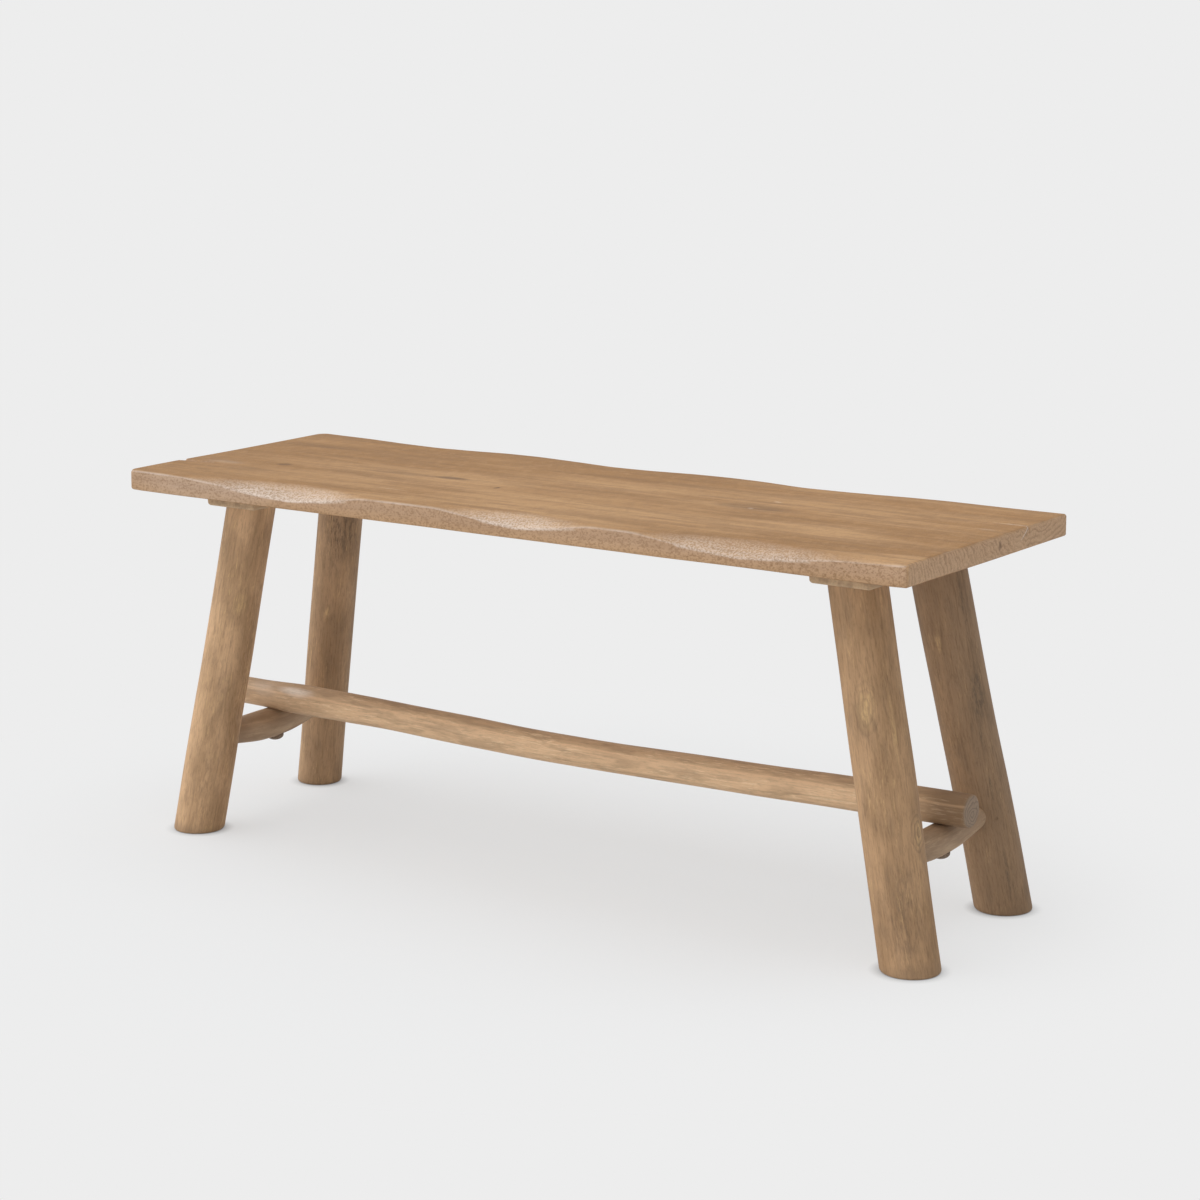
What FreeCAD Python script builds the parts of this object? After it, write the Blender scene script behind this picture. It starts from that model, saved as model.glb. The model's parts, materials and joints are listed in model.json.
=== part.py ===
import FreeCAD, Part
import math
import os
import Sketcher

# Rustic bench: a plank seat with scooped edges on two battens, four splayed log legs,
# a bowed pole between the legs at each end and one long pole screwed across them.
# X runs along the seat, Y to the back and Z up; the origin is on the floor under the
# middle of the seat. Lengths are in millimetres.
SIZES = {
    # seat plank
    "seat_height": 457,
    "seat_length": 1083,
    "seat_depth": 369,
    "seat_thickness": 25.5,
    "front_left_corner_round": 5,
    "front_right_corner_round": 5,
    "back_left_corner_round": 28,
    "back_right_corner_round": 7,
    "arris_round": 2.5,
    "edge_drop": 1.5,
    "edge_reach": 6,
    "hollow_depth": 13.5,
    "hollow_reach": 26,
    # drying checks that open at the two ends of the plank
    "check_from_edge": 96,
    "left_check_width": 9,
    "left_check_depth": 4,
    "left_check_length": 62,
    "right_check_width": 3,
    "right_check_depth": 9,
    "right_check_length": 74,
    # battens under the seat; the margin runs from the middle of a leg to the batten's end
    "batten_thickness": 20,
    "batten_width": 76,
    "batten_end_margin": 40,
    "batten_round": 4,
    # legs: how far their tops stand in from the seat's ends and long edges, then the diameter
    # and the splay of each log
    "leg_end_inset": 113,
    "leg_edge_inset": 95.5,
    "front_left_diameter": 62.4,
    "front_left_splay_x": 60,
    "front_left_splay_y": 47,
    "back_left_diameter": 57.8,
    "back_left_splay_x": 85,
    "back_left_splay_y": 40,
    "front_right_diameter": 66.2,
    "front_right_splay_x": 89.5,
    "front_right_splay_y": 31,
    "back_right_diameter": 65,
    "back_right_splay_x": 69,
    "back_right_splay_y": 48.5,
    "foot_round": 3,
    # bowed poles between a front and a back leg
    "cross_height": 116,
    "left_cross_diameter": 38,
    "right_cross_diameter": 36,
    "tenon_diameter": 29,
    "tenon_depth": 25,
    "tenon_shoulder": 3,
    "mortise_play": 0.2,
    "mortise_end_room": 1,
    # long pole that lies on the two bowed poles and runs past them
    "long_y": 5,
    "long_diameter": 37,
    "long_left_overhang": 50,
    "long_right_overhang": 37.5,
    "long_sag": 8,
    "long_bend_radius": 3000,
    "pole_end_bevel": 2,
    "left_bed_height": 128,
    "right_bed_height": 129.5,
    "bed_bite": 1.5,
    "bed_play": 1,
    # lag screws, let into the battens, that hold the legs
    "leg_screw_diameter": 7,
    "leg_screw_head_diameter": 14,
    "leg_screw_head_height": 5,
    "leg_screw_recess": 2,
    "leg_screw_bite": 55,
    "leg_screw_point": 9,
    # screws from below through the battens into the seat
    "seat_screw_diameter": 5.5,
    "seat_screw_head_diameter": 12,
    "seat_screw_head_height": 4,
    "seat_screw_bite": 15,
    "seat_screw_point": 6,
    # screws from below through the bowed poles into the long pole, heads in shallow flats
    "pole_screw_diameter": 8,
    "pole_screw_head_diameter": 22,
    "pole_screw_head_height": 7.5,
    "pole_screw_bite": 25,
    "pole_screw_point": 8,
    "screw_flat_depth": 2.5,
    # room around the screws, and how far the cutters run past what they cut
    "screw_play": 0.2,
    "hole_end_room": 1,
    "overrun": 15,
    "lip_overrun": 2,
}

# The scooped edges, station by station along the plank: the place as a share of the seat
# length, then how much of a full hollow the front edge and the back edge have there.
HOLLOW_SHARES = [
    (-0.500, 0.00, 0.00),
    (-0.468, 0.00, 0.03),
    (-0.425, 0.00, 0.15),
    (-0.356, 0.40, 0.50),
    (-0.309, 0.80, 0.55),
    (-0.263, 0.97, 0.35),
    (-0.217, 0.66, 0.05),
    (-0.171, 0.05, 0.02),
    (-0.111, 0.00, 0.30),
    (-0.065, 0.00, 0.55),
    (-0.018, 0.43, 0.48),
    (0.042, 0.83, 0.08),
    (0.088, 0.48, 0.00),
    (0.129, 0.00, 0.12),
    (0.189, 0.00, 0.52),
    (0.239, 0.55, 0.45),
    (0.309, 1.00, 0.10),
    (0.369, 0.66, 0.00),
    (0.426, 0.22, 0.00),
    (0.468, 0.08, 0.00),
    (0.500, 0.04, 0.00),
]
# The arc of a hollow runs on past its inner edge by these shares of its reach and its drop.
HOLLOW_RUN_SHARE = 0.2
HOLLOW_LIFT_SHARE = 0.04

# The long pole runs level from its left end, bends down, then up to its right end: the place of
# each bend as a share of the left reach, and its drop as a share of the sag.
LONG_BEND_SHARES = [
    (0.56, 0.00),
    (0.08, 1.00),
]

# A bowed pole from its front tenon to its back tenon: the place as a share of the half
# length, then how far it has sunk and how far it has thickened from tenon to middle.
CROSS_POLE_SHARES = [
    (-1.00, 0.00, 0.00),
    (-0.72, 0.42, 0.50),
    (-0.38, 0.85, 0.90),
    (0.00, 1.00, 1.00),
    (0.38, 0.90, 0.88),
    (0.72, 0.50, 0.52),
    (1.00, 0.00, 0.00),
]

# How far a seat screw stands from the middle of its batten, as a share of the way to the legs.
SEAT_SCREW_SHARE = 0.57

# A domed screw head from the middle of its crown to its seat: shares of its radius and height.
HEAD_SHARES = [
    (0.00, 1.00),
    (0.55, 0.94),
    (0.87, 0.62),
    (1.00, 0.16),
    (1.00, 0.00),
]

SIDES = {"left": -1, "right": 1}
ENDS = {"front": -1, "back": 1}
UP = FreeCAD.Vector(0, 0, 1)
START, END, CENTRE = range(1, 4)
ORIGIN = (-1, START)
HALF_TURN = 180
QUARTER_TURN = 90

doc = FreeCAD.newDocument("rustic_bench")
sheet = doc.addObject("Spreadsheet::Sheet", "sizes")
for row, (alias, number) in enumerate(SIZES.items(), start=1):
    sheet.set(f"A{row}", alias)
    sheet.set(f"B{row}", str(number))
    sheet.setAlias(f"B{row}", alias)
doc.recompute()

subparts = []


def value(expression):
    return float(sheet.evalExpression(expression))


def spot(x, y):
    return FreeCAD.Vector(value(x), value(y), 0)


def bind(target, **expressions):
    for prop, expression in expressions.items():
        target.setExpression(prop.replace("__", "."), expression)


def set_down(piece, x, y, z):
    bind(piece, Placement__Base__x=x, Placement__Base__y=y, Placement__Base__z=z)


def new_body(label):
    body = doc.addObject("PartDesign::Body", label)
    body.Label = label
    return body


def new_sketch(body, role, name, along="0", up="0"):
    """A sketch on an origin plane of the body, moved along the plane's normal and upwards in it."""
    sketch = body.newObject("Sketcher::SketchObject", name)
    plane = next(f for f in body.Origin.OriginFeatures if f.Role == role)
    sketch.AttachmentSupport = (plane, [""])
    sketch.MapMode = "FlatFace"
    bind(sketch, AttachmentOffset__Base__z=along, AttachmentOffset__Base__y=up)
    return sketch


def drive_point(sketch, name, point, x=None, y=None):
    """Ties the place of a point of a sketch, given as (geometry, position), to the sheet."""
    for axis, expression in (("x", x), ("y", y)):
        if expression is None:
            continue
        kind = f"Distance{axis.upper()}"
        distance = Sketcher.Constraint(kind, *ORIGIN, *point, value(expression))
        sketch.renameConstraint(sketch.addConstraint(distance), f"{name}_{axis}")
        sketch.setExpression(f"Constraints.{name}_{axis}", expression)


def add_circle(sketch, name, diameter, x="0", y="0"):
    start = value(diameter)
    circle = sketch.addGeometry(Part.Circle(spot(x, y), UP, start / 2), False)
    drive_point(sketch, name, (circle, CENTRE), x, y)
    width = Sketcher.Constraint("Diameter", circle, start)
    sketch.renameConstraint(sketch.addConstraint(width), f"{name}_diameter")
    sketch.setExpression(f"Constraints.{name}_diameter", diameter)


def add_outline(sketch, corners):
    """Closes straight lines through named corners given as (name, x, y) expressions."""
    spots = [spot(x, y) for _, x, y in corners]
    ends = zip(spots, spots[1:] + spots[:1])
    lines = [sketch.addGeometry(Part.LineSegment(*pair), False) for pair in ends]
    for line, following in zip(lines, lines[1:] + lines[:1]):
        sketch.addConstraint(Sketcher.Constraint("Coincident", line, END, following, START))
    for line, (name, x, y) in zip(lines, corners):
        drive_point(sketch, name, (line, START), x, y)


def add_rectangle(sketch, name, left, right, bottom, top):
    corners = [(f"{name}_near_left", left, bottom), (f"{name}_near_right", right, bottom)]
    corners += [(f"{name}_far_right", right, top), (f"{name}_far_left", left, top)]
    add_outline(sketch, corners)


def pad(body, sketch, length, backward=False):
    feature = body.newObject("PartDesign::Pad", f"{sketch.Name}_pad")
    feature.Profile = sketch
    feature.Reversed = backward
    bind(feature, Length=length)
    doc.recompute()
    return feature


def pocket(body, sketch, depth, backward=False):
    """Cuts a sketch into the body and stops the build if nothing was cut."""
    before = body.Shape.Volume
    feature = body.newObject("PartDesign::Pocket", f"{sketch.Name}_pocket")
    feature.Profile = sketch
    feature.Reversed = backward
    bind(feature, Length=depth)
    doc.recompute()
    if body.Shape.Volume >= before:
        raise RuntimeError(f"{feature.Name} cuts nothing")


def loft(body, kind, sketches, ruled=False):
    feature = body.newObject(f"PartDesign::{kind}", f"{sketches[0].Name}_loft")
    feature.Profile = sketches[0]
    feature.Sections = sketches[1:]
    feature.Ruled = ruled
    doc.recompute()


def round_edges(body, radius, wanted):
    """Rounds the edges of the body's last feature that the test picks out."""
    doc.recompute()
    base = body.Tip
    names = [f"Edge{i}" for i, edge in enumerate(base.Shape.Edges, start=1) if wanted(edge)]
    fillet = body.newObject("PartDesign::Fillet", f"{body.Name}_rounding")
    fillet.Base = (base, names)
    bind(fillet, Radius=radius)
    doc.recompute()


def boolean(kind, label, base, tool):
    piece = doc.addObject(f"Part::{kind}", label)
    piece.Base = base
    piece.Tool = tool
    return piece


def keep(piece, label):
    piece.Label = label
    subparts.append(piece)


SEAT_UNDERSIDE = "(sizes.seat_height - sizes.seat_thickness)"
BATTEN_UNDERSIDE = f"({SEAT_UNDERSIDE} - sizes.batten_thickness)"
LEG_TOP = {
    "x": "(sizes.seat_length / 2 - sizes.leg_end_inset)",
    "y": "(sizes.seat_depth / 2 - sizes.leg_edge_inset)",
}
LEG_DIAMETERS = [f"sizes.{end}_{name}_diameter" for end in ENDS for name in SIDES]
THICKEST_LEG = f"max({'; '.join(LEG_DIAMETERS)})"
SEAT_SCREW_Y = f"({SEAT_SCREW_SHARE} * ({LEG_TOP['y']} - {THICKEST_LEG} / 2))"


# Seat plank
def hollow_section(body, end, number, place, share):
    """One section of the cutter that scoops a long edge: an arc that rolls the top over."""
    sketch = new_sketch(body, "YZ_Plane", f"{end}_hollow_{number}", along=place)
    side = ENDS[end]
    reach = f"(sizes.edge_reach + {share} * sizes.hollow_reach)"
    drop = f"(sizes.edge_drop + {share} * sizes.hollow_depth)"
    edge = f"{side} * sizes.seat_depth / 2"
    lid_height = "sizes.seat_thickness + sizes.overrun"
    run_in = f"{edge} - {side * (1 + HOLLOW_RUN_SHARE)} * {reach}"
    inner_end = (run_in, f"sizes.seat_thickness + {HOLLOW_LIFT_SHARE} * {drop}")
    inner_edge = (f"{edge} - {side} * {reach}", "sizes.seat_thickness")
    outer_edge = (edge, f"sizes.seat_thickness - {drop}")
    through = [spot(*outer_edge), spot(*inner_edge), spot(*inner_end)]
    outer, inner = START, END
    if end == "front":
        through.reverse()
        outer, inner = END, START
    arc = sketch.addGeometry(Part.Arc(*through), False)
    corners = [spot(*inner_end), spot(run_in, lid_height), spot(edge, lid_height), spot(*outer_edge)]
    ends = zip(corners, corners[1:])
    rise, lid, fall = [sketch.addGeometry(Part.LineSegment(*pair), False) for pair in ends]
    sketch.addConstraint(Sketcher.Constraint("Coincident", arc, inner, rise, START))
    sketch.addConstraint(Sketcher.Constraint("Coincident", rise, END, lid, START))
    sketch.addConstraint(Sketcher.Constraint("Coincident", lid, END, fall, START))
    sketch.addConstraint(Sketcher.Constraint("Coincident", fall, END, arc, outer))
    sketch.addConstraint(Sketcher.Constraint("Vertical", rise))
    sketch.addConstraint(Sketcher.Constraint("Horizontal", lid))
    sketch.addConstraint(Sketcher.Constraint("Vertical", fall))
    for name, crossing in (("inner_edge", inner_edge), ("outer_edge", outer_edge)):
        point = sketch.addGeometry(Part.Point(spot(*crossing)), True)
        drive_point(sketch, name, (point, START), *crossing)
        sketch.addConstraint(Sketcher.Constraint("PointOnObject", point, START, arc))
    drive_point(sketch, "inner_end", (arc, inner), *inner_end)
    drive_point(sketch, "outer_end", (arc, outer), f"{edge} + {side} * sizes.lip_overrun")
    drive_point(sketch, "lid", (lid, START), y=lid_height)
    return sketch


def scoop_edge(body, end):
    last = len(HOLLOW_SHARES) - 1
    past_end = {0: "- sizes.overrun", last: "+ sizes.overrun"}
    sections = []
    for number, (place_share, front_share, back_share) in enumerate(HOLLOW_SHARES):
        share = front_share if end == "front" else back_share
        place = f"{place_share} * sizes.seat_length {past_end.get(number, '')}"
        sections.append(hollow_section(body, end, number, place, share))
    before = body.Shape.Volume
    loft(body, "SubtractiveLoft", sections)
    if body.Shape.Volume >= before:
        raise RuntimeError(f"the {end} hollows cut nothing")


def end_arris(body, name):
    """Softens the upper edge at one end of the plank."""
    side = SIDES[name]
    sketch = new_sketch(body, "XZ_Plane", f"{name}_arris", along="sizes.seat_depth / 2 + sizes.overrun")
    face = f"{side} * sizes.seat_length / 2"
    past = f"{face} + {side} * sizes.overrun"
    inner = f"{face} - {side} * sizes.arris_round"
    lower = "sizes.seat_thickness - sizes.arris_round"
    lid = "sizes.seat_thickness + sizes.overrun"
    corners = [(face, lower), (past, lower), (past, lid), (inner, lid), (inner, "sizes.seat_thickness")]
    spots = [spot(*corner) for corner in corners]
    lines = [sketch.addGeometry(Part.LineSegment(*pair), False) for pair in zip(spots, spots[1:])]
    for line, following in zip(lines, lines[1:]):
        sketch.addConstraint(Sketcher.Constraint("Coincident", line, END, following, START))
    radius = value("sizes.arris_round")
    quarter = math.radians(QUARTER_TURN)
    first, low, high = (0, START, END) if name == "right" else (quarter, END, START)
    circle = Part.Circle(spot(inner, lower), UP, radius)
    arc = sketch.addGeometry(Part.ArcOfCircle(circle, first, first + quarter), False)
    sketch.addConstraint(Sketcher.Constraint("Coincident", lines[0], START, arc, low))
    sketch.addConstraint(Sketcher.Constraint("Coincident", lines[-1], END, arc, high))
    for number, (line, corner) in enumerate(zip(lines, corners)):
        drive_point(sketch, f"corner_{number}", (line, START), *corner)
    drive_point(sketch, "top_edge", (lines[-1], END), *corners[-1])
    width = sketch.addConstraint(Sketcher.Constraint("Radius", arc, radius))
    sketch.renameConstraint(width, "arris_radius")
    sketch.setExpression("Constraints.arris_radius", "sizes.arris_round")
    pocket(body, sketch, "sizes.seat_depth + 2 * sizes.overrun")


def end_check(body, name):
    """A drying check: a narrow wedge, open at the end of the plank and along the top."""
    side = SIDES[name]
    sketch = new_sketch(body, "XY_Plane", f"{name}_check", along="sizes.seat_thickness")
    middle = f"{side} * (sizes.seat_depth / 2 - sizes.check_from_edge)"
    mouth = f"{side} * (sizes.seat_length / 2 + sizes.overrun)"
    tip = f"{side} * (sizes.seat_length / 2 - sizes.{name}_check_length)"
    corners = [("mouth_near", mouth, f"{middle} - {side} * sizes.{name}_check_width / 2")]
    corners.append(("mouth_far", mouth, f"{middle} + {side} * sizes.{name}_check_width / 2"))
    corners.append(("tip", tip, middle))
    add_outline(sketch, corners)
    pocket(body, sketch, f"sizes.{name}_check_depth")


def upright_at(edge, side_x, side_y):
    """Whether an edge stands upright at the corner of the plank on these two sides."""
    box = edge.BoundBox
    tall = box.ZLength > value("sizes.seat_thickness") / 2
    return tall and side_x * box.Center.x > 0 and side_y * box.Center.y > 0


def seat_plank():
    body = new_body("seat_plank")
    set_down(body, "0", "0", SEAT_UNDERSIDE)
    outline = new_sketch(body, "XY_Plane", "seat_outline")
    half_length = "sizes.seat_length / 2"
    half_depth = "sizes.seat_depth / 2"
    add_rectangle(outline, "seat", f"-{half_length}", half_length, f"-{half_depth}", half_depth)
    pad(body, outline, "sizes.seat_thickness")
    for end, side_y in ENDS.items():
        for name, side_x in SIDES.items():
            radius = f"sizes.{end}_{name}_corner_round"
            round_edges(body, radius, lambda edge: upright_at(edge, side_x, side_y))
    arris = value("sizes.arris_round")
    round_edges(body, "sizes.arris_round", lambda edge: edge.BoundBox.ZMax < arris)
    for name in SIDES:
        end_arris(body, name)
    for end in ENDS:
        scoop_edge(body, end)
    for name in SIDES:
        end_check(body, name)
    pilots = new_sketch(body, "XY_Plane", "seat_screw_pilots")
    diameter = "sizes.seat_screw_diameter + sizes.screw_play"
    for name, side_x in SIDES.items():
        for end, side_y in ENDS.items():
            place = (f"{side_x} * {LEG_TOP['x']}", f"{side_y} * {SEAT_SCREW_Y}")
            add_circle(pilots, f"{end}_{name}", diameter, *place)
    pocket(body, pilots, "sizes.seat_screw_bite + sizes.hole_end_room", backward=True)
    keep(body, "seat_plank")


# Battens
def batten(name):
    label = f"batten_{name}"
    body = new_body(label)
    set_down(body, f"{SIDES[name]} * {LEG_TOP['x']}", "0", BATTEN_UNDERSIDE)
    outline = new_sketch(body, "XY_Plane", f"{label}_outline")
    half_width = "sizes.batten_width / 2"
    half_length = f"({LEG_TOP['y']} + sizes.batten_end_margin)"
    add_rectangle(outline, "batten", f"-{half_width}", half_width, f"-{half_length}", half_length)
    pad(body, outline, "sizes.batten_thickness")
    middle = value("sizes.batten_thickness") / 2
    round_edges(body, "sizes.batten_round", lambda edge: edge.BoundBox.ZMin < middle)
    through = "sizes.batten_thickness + sizes.overrun"
    recess = "sizes.leg_screw_head_height + sizes.leg_screw_recess"
    holes = [("leg_screw_head", "leg_screw_head_diameter", LEG_TOP["y"], recess)]
    holes.append(("leg_screw_hole", "leg_screw_diameter", LEG_TOP["y"], through))
    holes.append(("seat_screw_hole", "seat_screw_diameter", SEAT_SCREW_Y, through))
    for role, diameter, place, depth in holes:
        sketch = new_sketch(body, "XY_Plane", f"{label}_{role}", along="sizes.batten_thickness")
        for end, sign in ENDS.items():
            width = f"sizes.{diameter} + sizes.screw_play"
            add_circle(sketch, end, width, y=f"{sign} * {place}")
        pocket(body, sketch, depth)
    keep(body, label)


# Legs
def leg_axis_at_cross(end, name, axis):
    """Where a leg's axis passes the height of the bowed pole, along X or Y."""
    sign = ENDS[end] if axis == "y" else SIDES[name]
    fall = f"(1 - sizes.cross_height / {BATTEN_UNDERSIDE})"
    return f"({sign} * ({LEG_TOP[axis]} + sizes.{end}_{name}_splay_{axis} * {fall}))"


def leg_to_leg(name, axis):
    """The run along X or Y from the front leg to the back leg at one end of the bench."""
    return f"({leg_axis_at_cross('back', name, axis)} - {leg_axis_at_cross('front', name, axis)})"


def cross_turn(name):
    """The small turn in plan of the bowed pole at one end of the bench."""
    return f"(-atan({leg_to_leg(name, 'x')} / {leg_to_leg(name, 'y')}))"


def splayed_log(end, name):
    """A round log along the leg's axis that runs past the floor and the batten."""
    log = doc.addObject("Part::Cylinder", f"log_{end}_{name}")
    diameter = f"sizes.{end}_{name}_diameter"
    splay_x = f"({SIDES[name]} * sizes.{end}_{name}_splay_x)"
    splay_y = f"({ENDS[end]} * sizes.{end}_{name}_splay_y)"
    slope_x = f"({splay_x} / {BATTEN_UNDERSIDE})"
    slope_y = f"({splay_y} / {BATTEN_UNDERSIDE})"
    low_x = f"{SIDES[name]} * {LEG_TOP['x']} + {splay_x} + {slope_x} * {diameter}"
    low_y = f"{ENDS[end]} * {LEG_TOP['y']} + {splay_y} + {slope_y} * {diameter}"
    lean = f"rotation(vector({splay_y}; -{splay_x}; 0); atan(hypot({slope_x}; {slope_y})))"
    height = f"({BATTEN_UNDERSIDE} + 2 * {diameter}) * hypot(1; {slope_x}; {slope_y})"
    bind(log, Radius=f"{diameter} / 2", Height=height)
    bind(log, Placement=f"placement(vector({low_x}; {low_y}; -{diameter}); {lean})")
    return log


def floor_to_batten(end, name):
    """A block round one leg that reaches from the floor to the underside of the batten."""
    block = doc.addObject("Part::Box", f"block_{end}_{name}")
    for axis, side in (("x", "Length"), ("y", "Width")):
        reach = f"{LEG_TOP[axis]} + sizes.{end}_{name}_splay_{axis}"
        half = f"({reach} + sizes.{end}_{name}_diameter)"
        bind(block, **{side: f"2 * {half}", f"Placement__Base__{axis}": f"-{half}"})
    bind(block, Height=BATTEN_UNDERSIDE)
    return block


def mortise(end, name):
    """The round hole in a leg for the tenon of the bowed pole."""
    hole = doc.addObject("Part::Cylinder", f"mortise_{end}_{name}")
    inward = -ENDS[end]
    turn = cross_turn(name)
    floor = f"(sizes.{end}_{name}_diameter / 2 - sizes.tenon_depth - sizes.mortise_end_room)"
    floor_x = f"{leg_axis_at_cross(end, name, 'x')} - {inward} * sin({turn}) * {floor}"
    floor_y = f"{leg_axis_at_cross(end, name, 'y')} + {inward} * cos({turn}) * {floor}"
    aim = f"rotationz({turn}) * rotationx({-inward * QUARTER_TURN})"
    bind(hole, Radius="(sizes.tenon_diameter + sizes.mortise_play) / 2")
    bind(hole, Height="sizes.tenon_depth + sizes.mortise_end_room + sizes.overrun")
    bind(hole, Placement=f"placement(vector({floor_x}; {floor_y}; sizes.cross_height); {aim})")
    return hole


def leg_pilot(end, name):
    """The hole in the top of a leg for its lag screw."""
    hole = doc.addObject("Part::Cylinder", f"pilot_{end}_{name}")
    depth = "(sizes.leg_screw_bite + sizes.hole_end_room)"
    bind(hole, Radius="(sizes.leg_screw_diameter + sizes.screw_play) / 2")
    bind(hole, Height=f"{depth} + sizes.overrun")
    place_x = f"{SIDES[name]} * {LEG_TOP['x']}"
    place_y = f"{ENDS[end]} * {LEG_TOP['y']}"
    set_down(hole, place_x, place_y, f"{BATTEN_UNDERSIDE} - {depth}")
    return hole


def leg(end, name):
    label = f"leg_{end}_{name}"
    sawn = boolean("Common", f"{label}_sawn", splayed_log(end, name), floor_to_batten(end, name))
    bored = boolean("Cut", f"{label}_bored", sawn, mortise(end, name))
    drilled = boolean("Cut", f"{label}_drilled", bored, leg_pilot(end, name))
    doc.recompute()
    rounded = doc.addObject("Part::Fillet", label)
    rounded.Base = drilled
    soft = value("sizes.foot_round")
    edges = enumerate(drilled.Shape.Edges, start=1)
    rounded.Edges = [(index, soft, soft) for index, edge in edges if edge.BoundBox.ZMax < soft]
    keep(rounded, label)


# Bowed poles between the legs
def cross_middle(name, axis):
    front = leg_axis_at_cross("front", name, axis)
    back = leg_axis_at_cross("back", name, axis)
    return f"(({front} + {back}) / 2)"


def pole_crossing_x(name):
    """Where a bowed pole passes under the middle of the long pole."""
    offset = f"(sizes.long_y - {cross_middle(name, 'y')})"
    return f"({cross_middle(name, 'x')} - tan({cross_turn(name)}) * {offset})"


def cross_axis_height(name):
    """Height of a bowed pole's axis at its middle, where the long pole lies on it."""
    return f"(sizes.{name}_bed_height + sizes.bed_bite - sizes.{name}_cross_diameter / 2)"


def screw_flat_height(name):
    """Height of the small flat under a bowed pole that takes the screw's head."""
    lowest = f"{cross_axis_height(name)} - sizes.{name}_cross_diameter / 2"
    return f"({lowest} + sizes.screw_flat_depth)"


def cross_pole(name):
    label = f"cross_stretcher_{name}"
    body = new_body(label)
    centre = f"vector({cross_middle(name, 'x')}; {cross_middle(name, 'y')}; 0)"
    bind(body, Placement=f"placement({centre}; rotationz({cross_turn(name)}))")
    half_run = f"(hypot({leg_to_leg(name, 'x')}; {leg_to_leg(name, 'y')}) / 2)"
    shoulders = {}
    for end in ENDS:
        radius = f"sizes.{end}_{name}_diameter / 2"
        shoulders[end] = f"({half_run} - {radius} - sizes.tenon_shoulder)"
    thickest = f"sizes.{name}_cross_diameter"
    sections = []
    for number, (place_share, sink_share, growth_share) in enumerate(CROSS_POLE_SHARES):
        shoulder = shoulders["front" if place_share < 0 else "back"]
        sink = f"{sink_share} * ({cross_axis_height(name)} - sizes.cross_height)"
        place = {"along": f"{-place_share} * {shoulder}", "up": f"sizes.cross_height + {sink}"}
        sketch = new_sketch(body, "XZ_Plane", f"{label}_section_{number}", **place)
        growth = f"{growth_share} * ({thickest} - sizes.tenon_diameter)"
        add_circle(sketch, "pole", f"sizes.tenon_diameter + {growth}")
        sections.append(sketch)
    loft(body, "AdditiveLoft", sections, ruled=True)
    for end, sign in ENDS.items():
        place = {"along": f"{-sign} * {shoulders[end]}", "up": "sizes.cross_height"}
        tenon = new_sketch(body, "XZ_Plane", f"{label}_{end}_tenon", **place)
        add_circle(tenon, "tenon", "sizes.tenon_diameter")
        pad(body, tenon, "sizes.tenon_shoulder + sizes.tenon_depth", backward=sign > 0)
    crossing = f"(sizes.long_y - {cross_middle(name, 'y')}) / cos({cross_turn(name)})"
    above_bed = f"sizes.{name}_bed_height + sizes.overrun"
    bed = new_sketch(body, "XY_Plane", f"{label}_bed", along=above_bed)
    half_bed = "(sizes.long_diameter / 2 + sizes.bed_play)"
    bed_ends = (f"{crossing} - {half_bed}", f"{crossing} + {half_bed}")
    add_rectangle(bed, "bed", f"-{thickest}", thickest, *bed_ends)
    pocket(body, bed, "sizes.overrun")
    flat = new_sketch(body, "XY_Plane", f"{label}_screw_flat", along=screw_flat_height(name))
    add_circle(flat, "flat", "sizes.pole_screw_head_diameter + sizes.bed_play", y=crossing)
    pocket(body, flat, "sizes.overrun")
    hole = new_sketch(body, "XY_Plane", f"{label}_screw_hole", along=above_bed)
    add_circle(hole, "hole", "sizes.pole_screw_diameter + sizes.screw_play", y=crossing)
    pocket(body, hole, f"{thickest} + 2 * sizes.overrun")
    keep(body, label)


# Long pole
def long_axis_height(name):
    """Height of the long pole's axis where it lies on the bowed pole at one end."""
    return f"(sizes.{name}_bed_height + sizes.long_diameter / 2 - sizes.bed_bite)"


def long_reach(name):
    """How far the long pole reaches to one side of the middle of the bench."""
    return f"({SIDES[name]} * {pole_crossing_x(name)} + sizes.long_{name}_overhang)"


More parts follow.
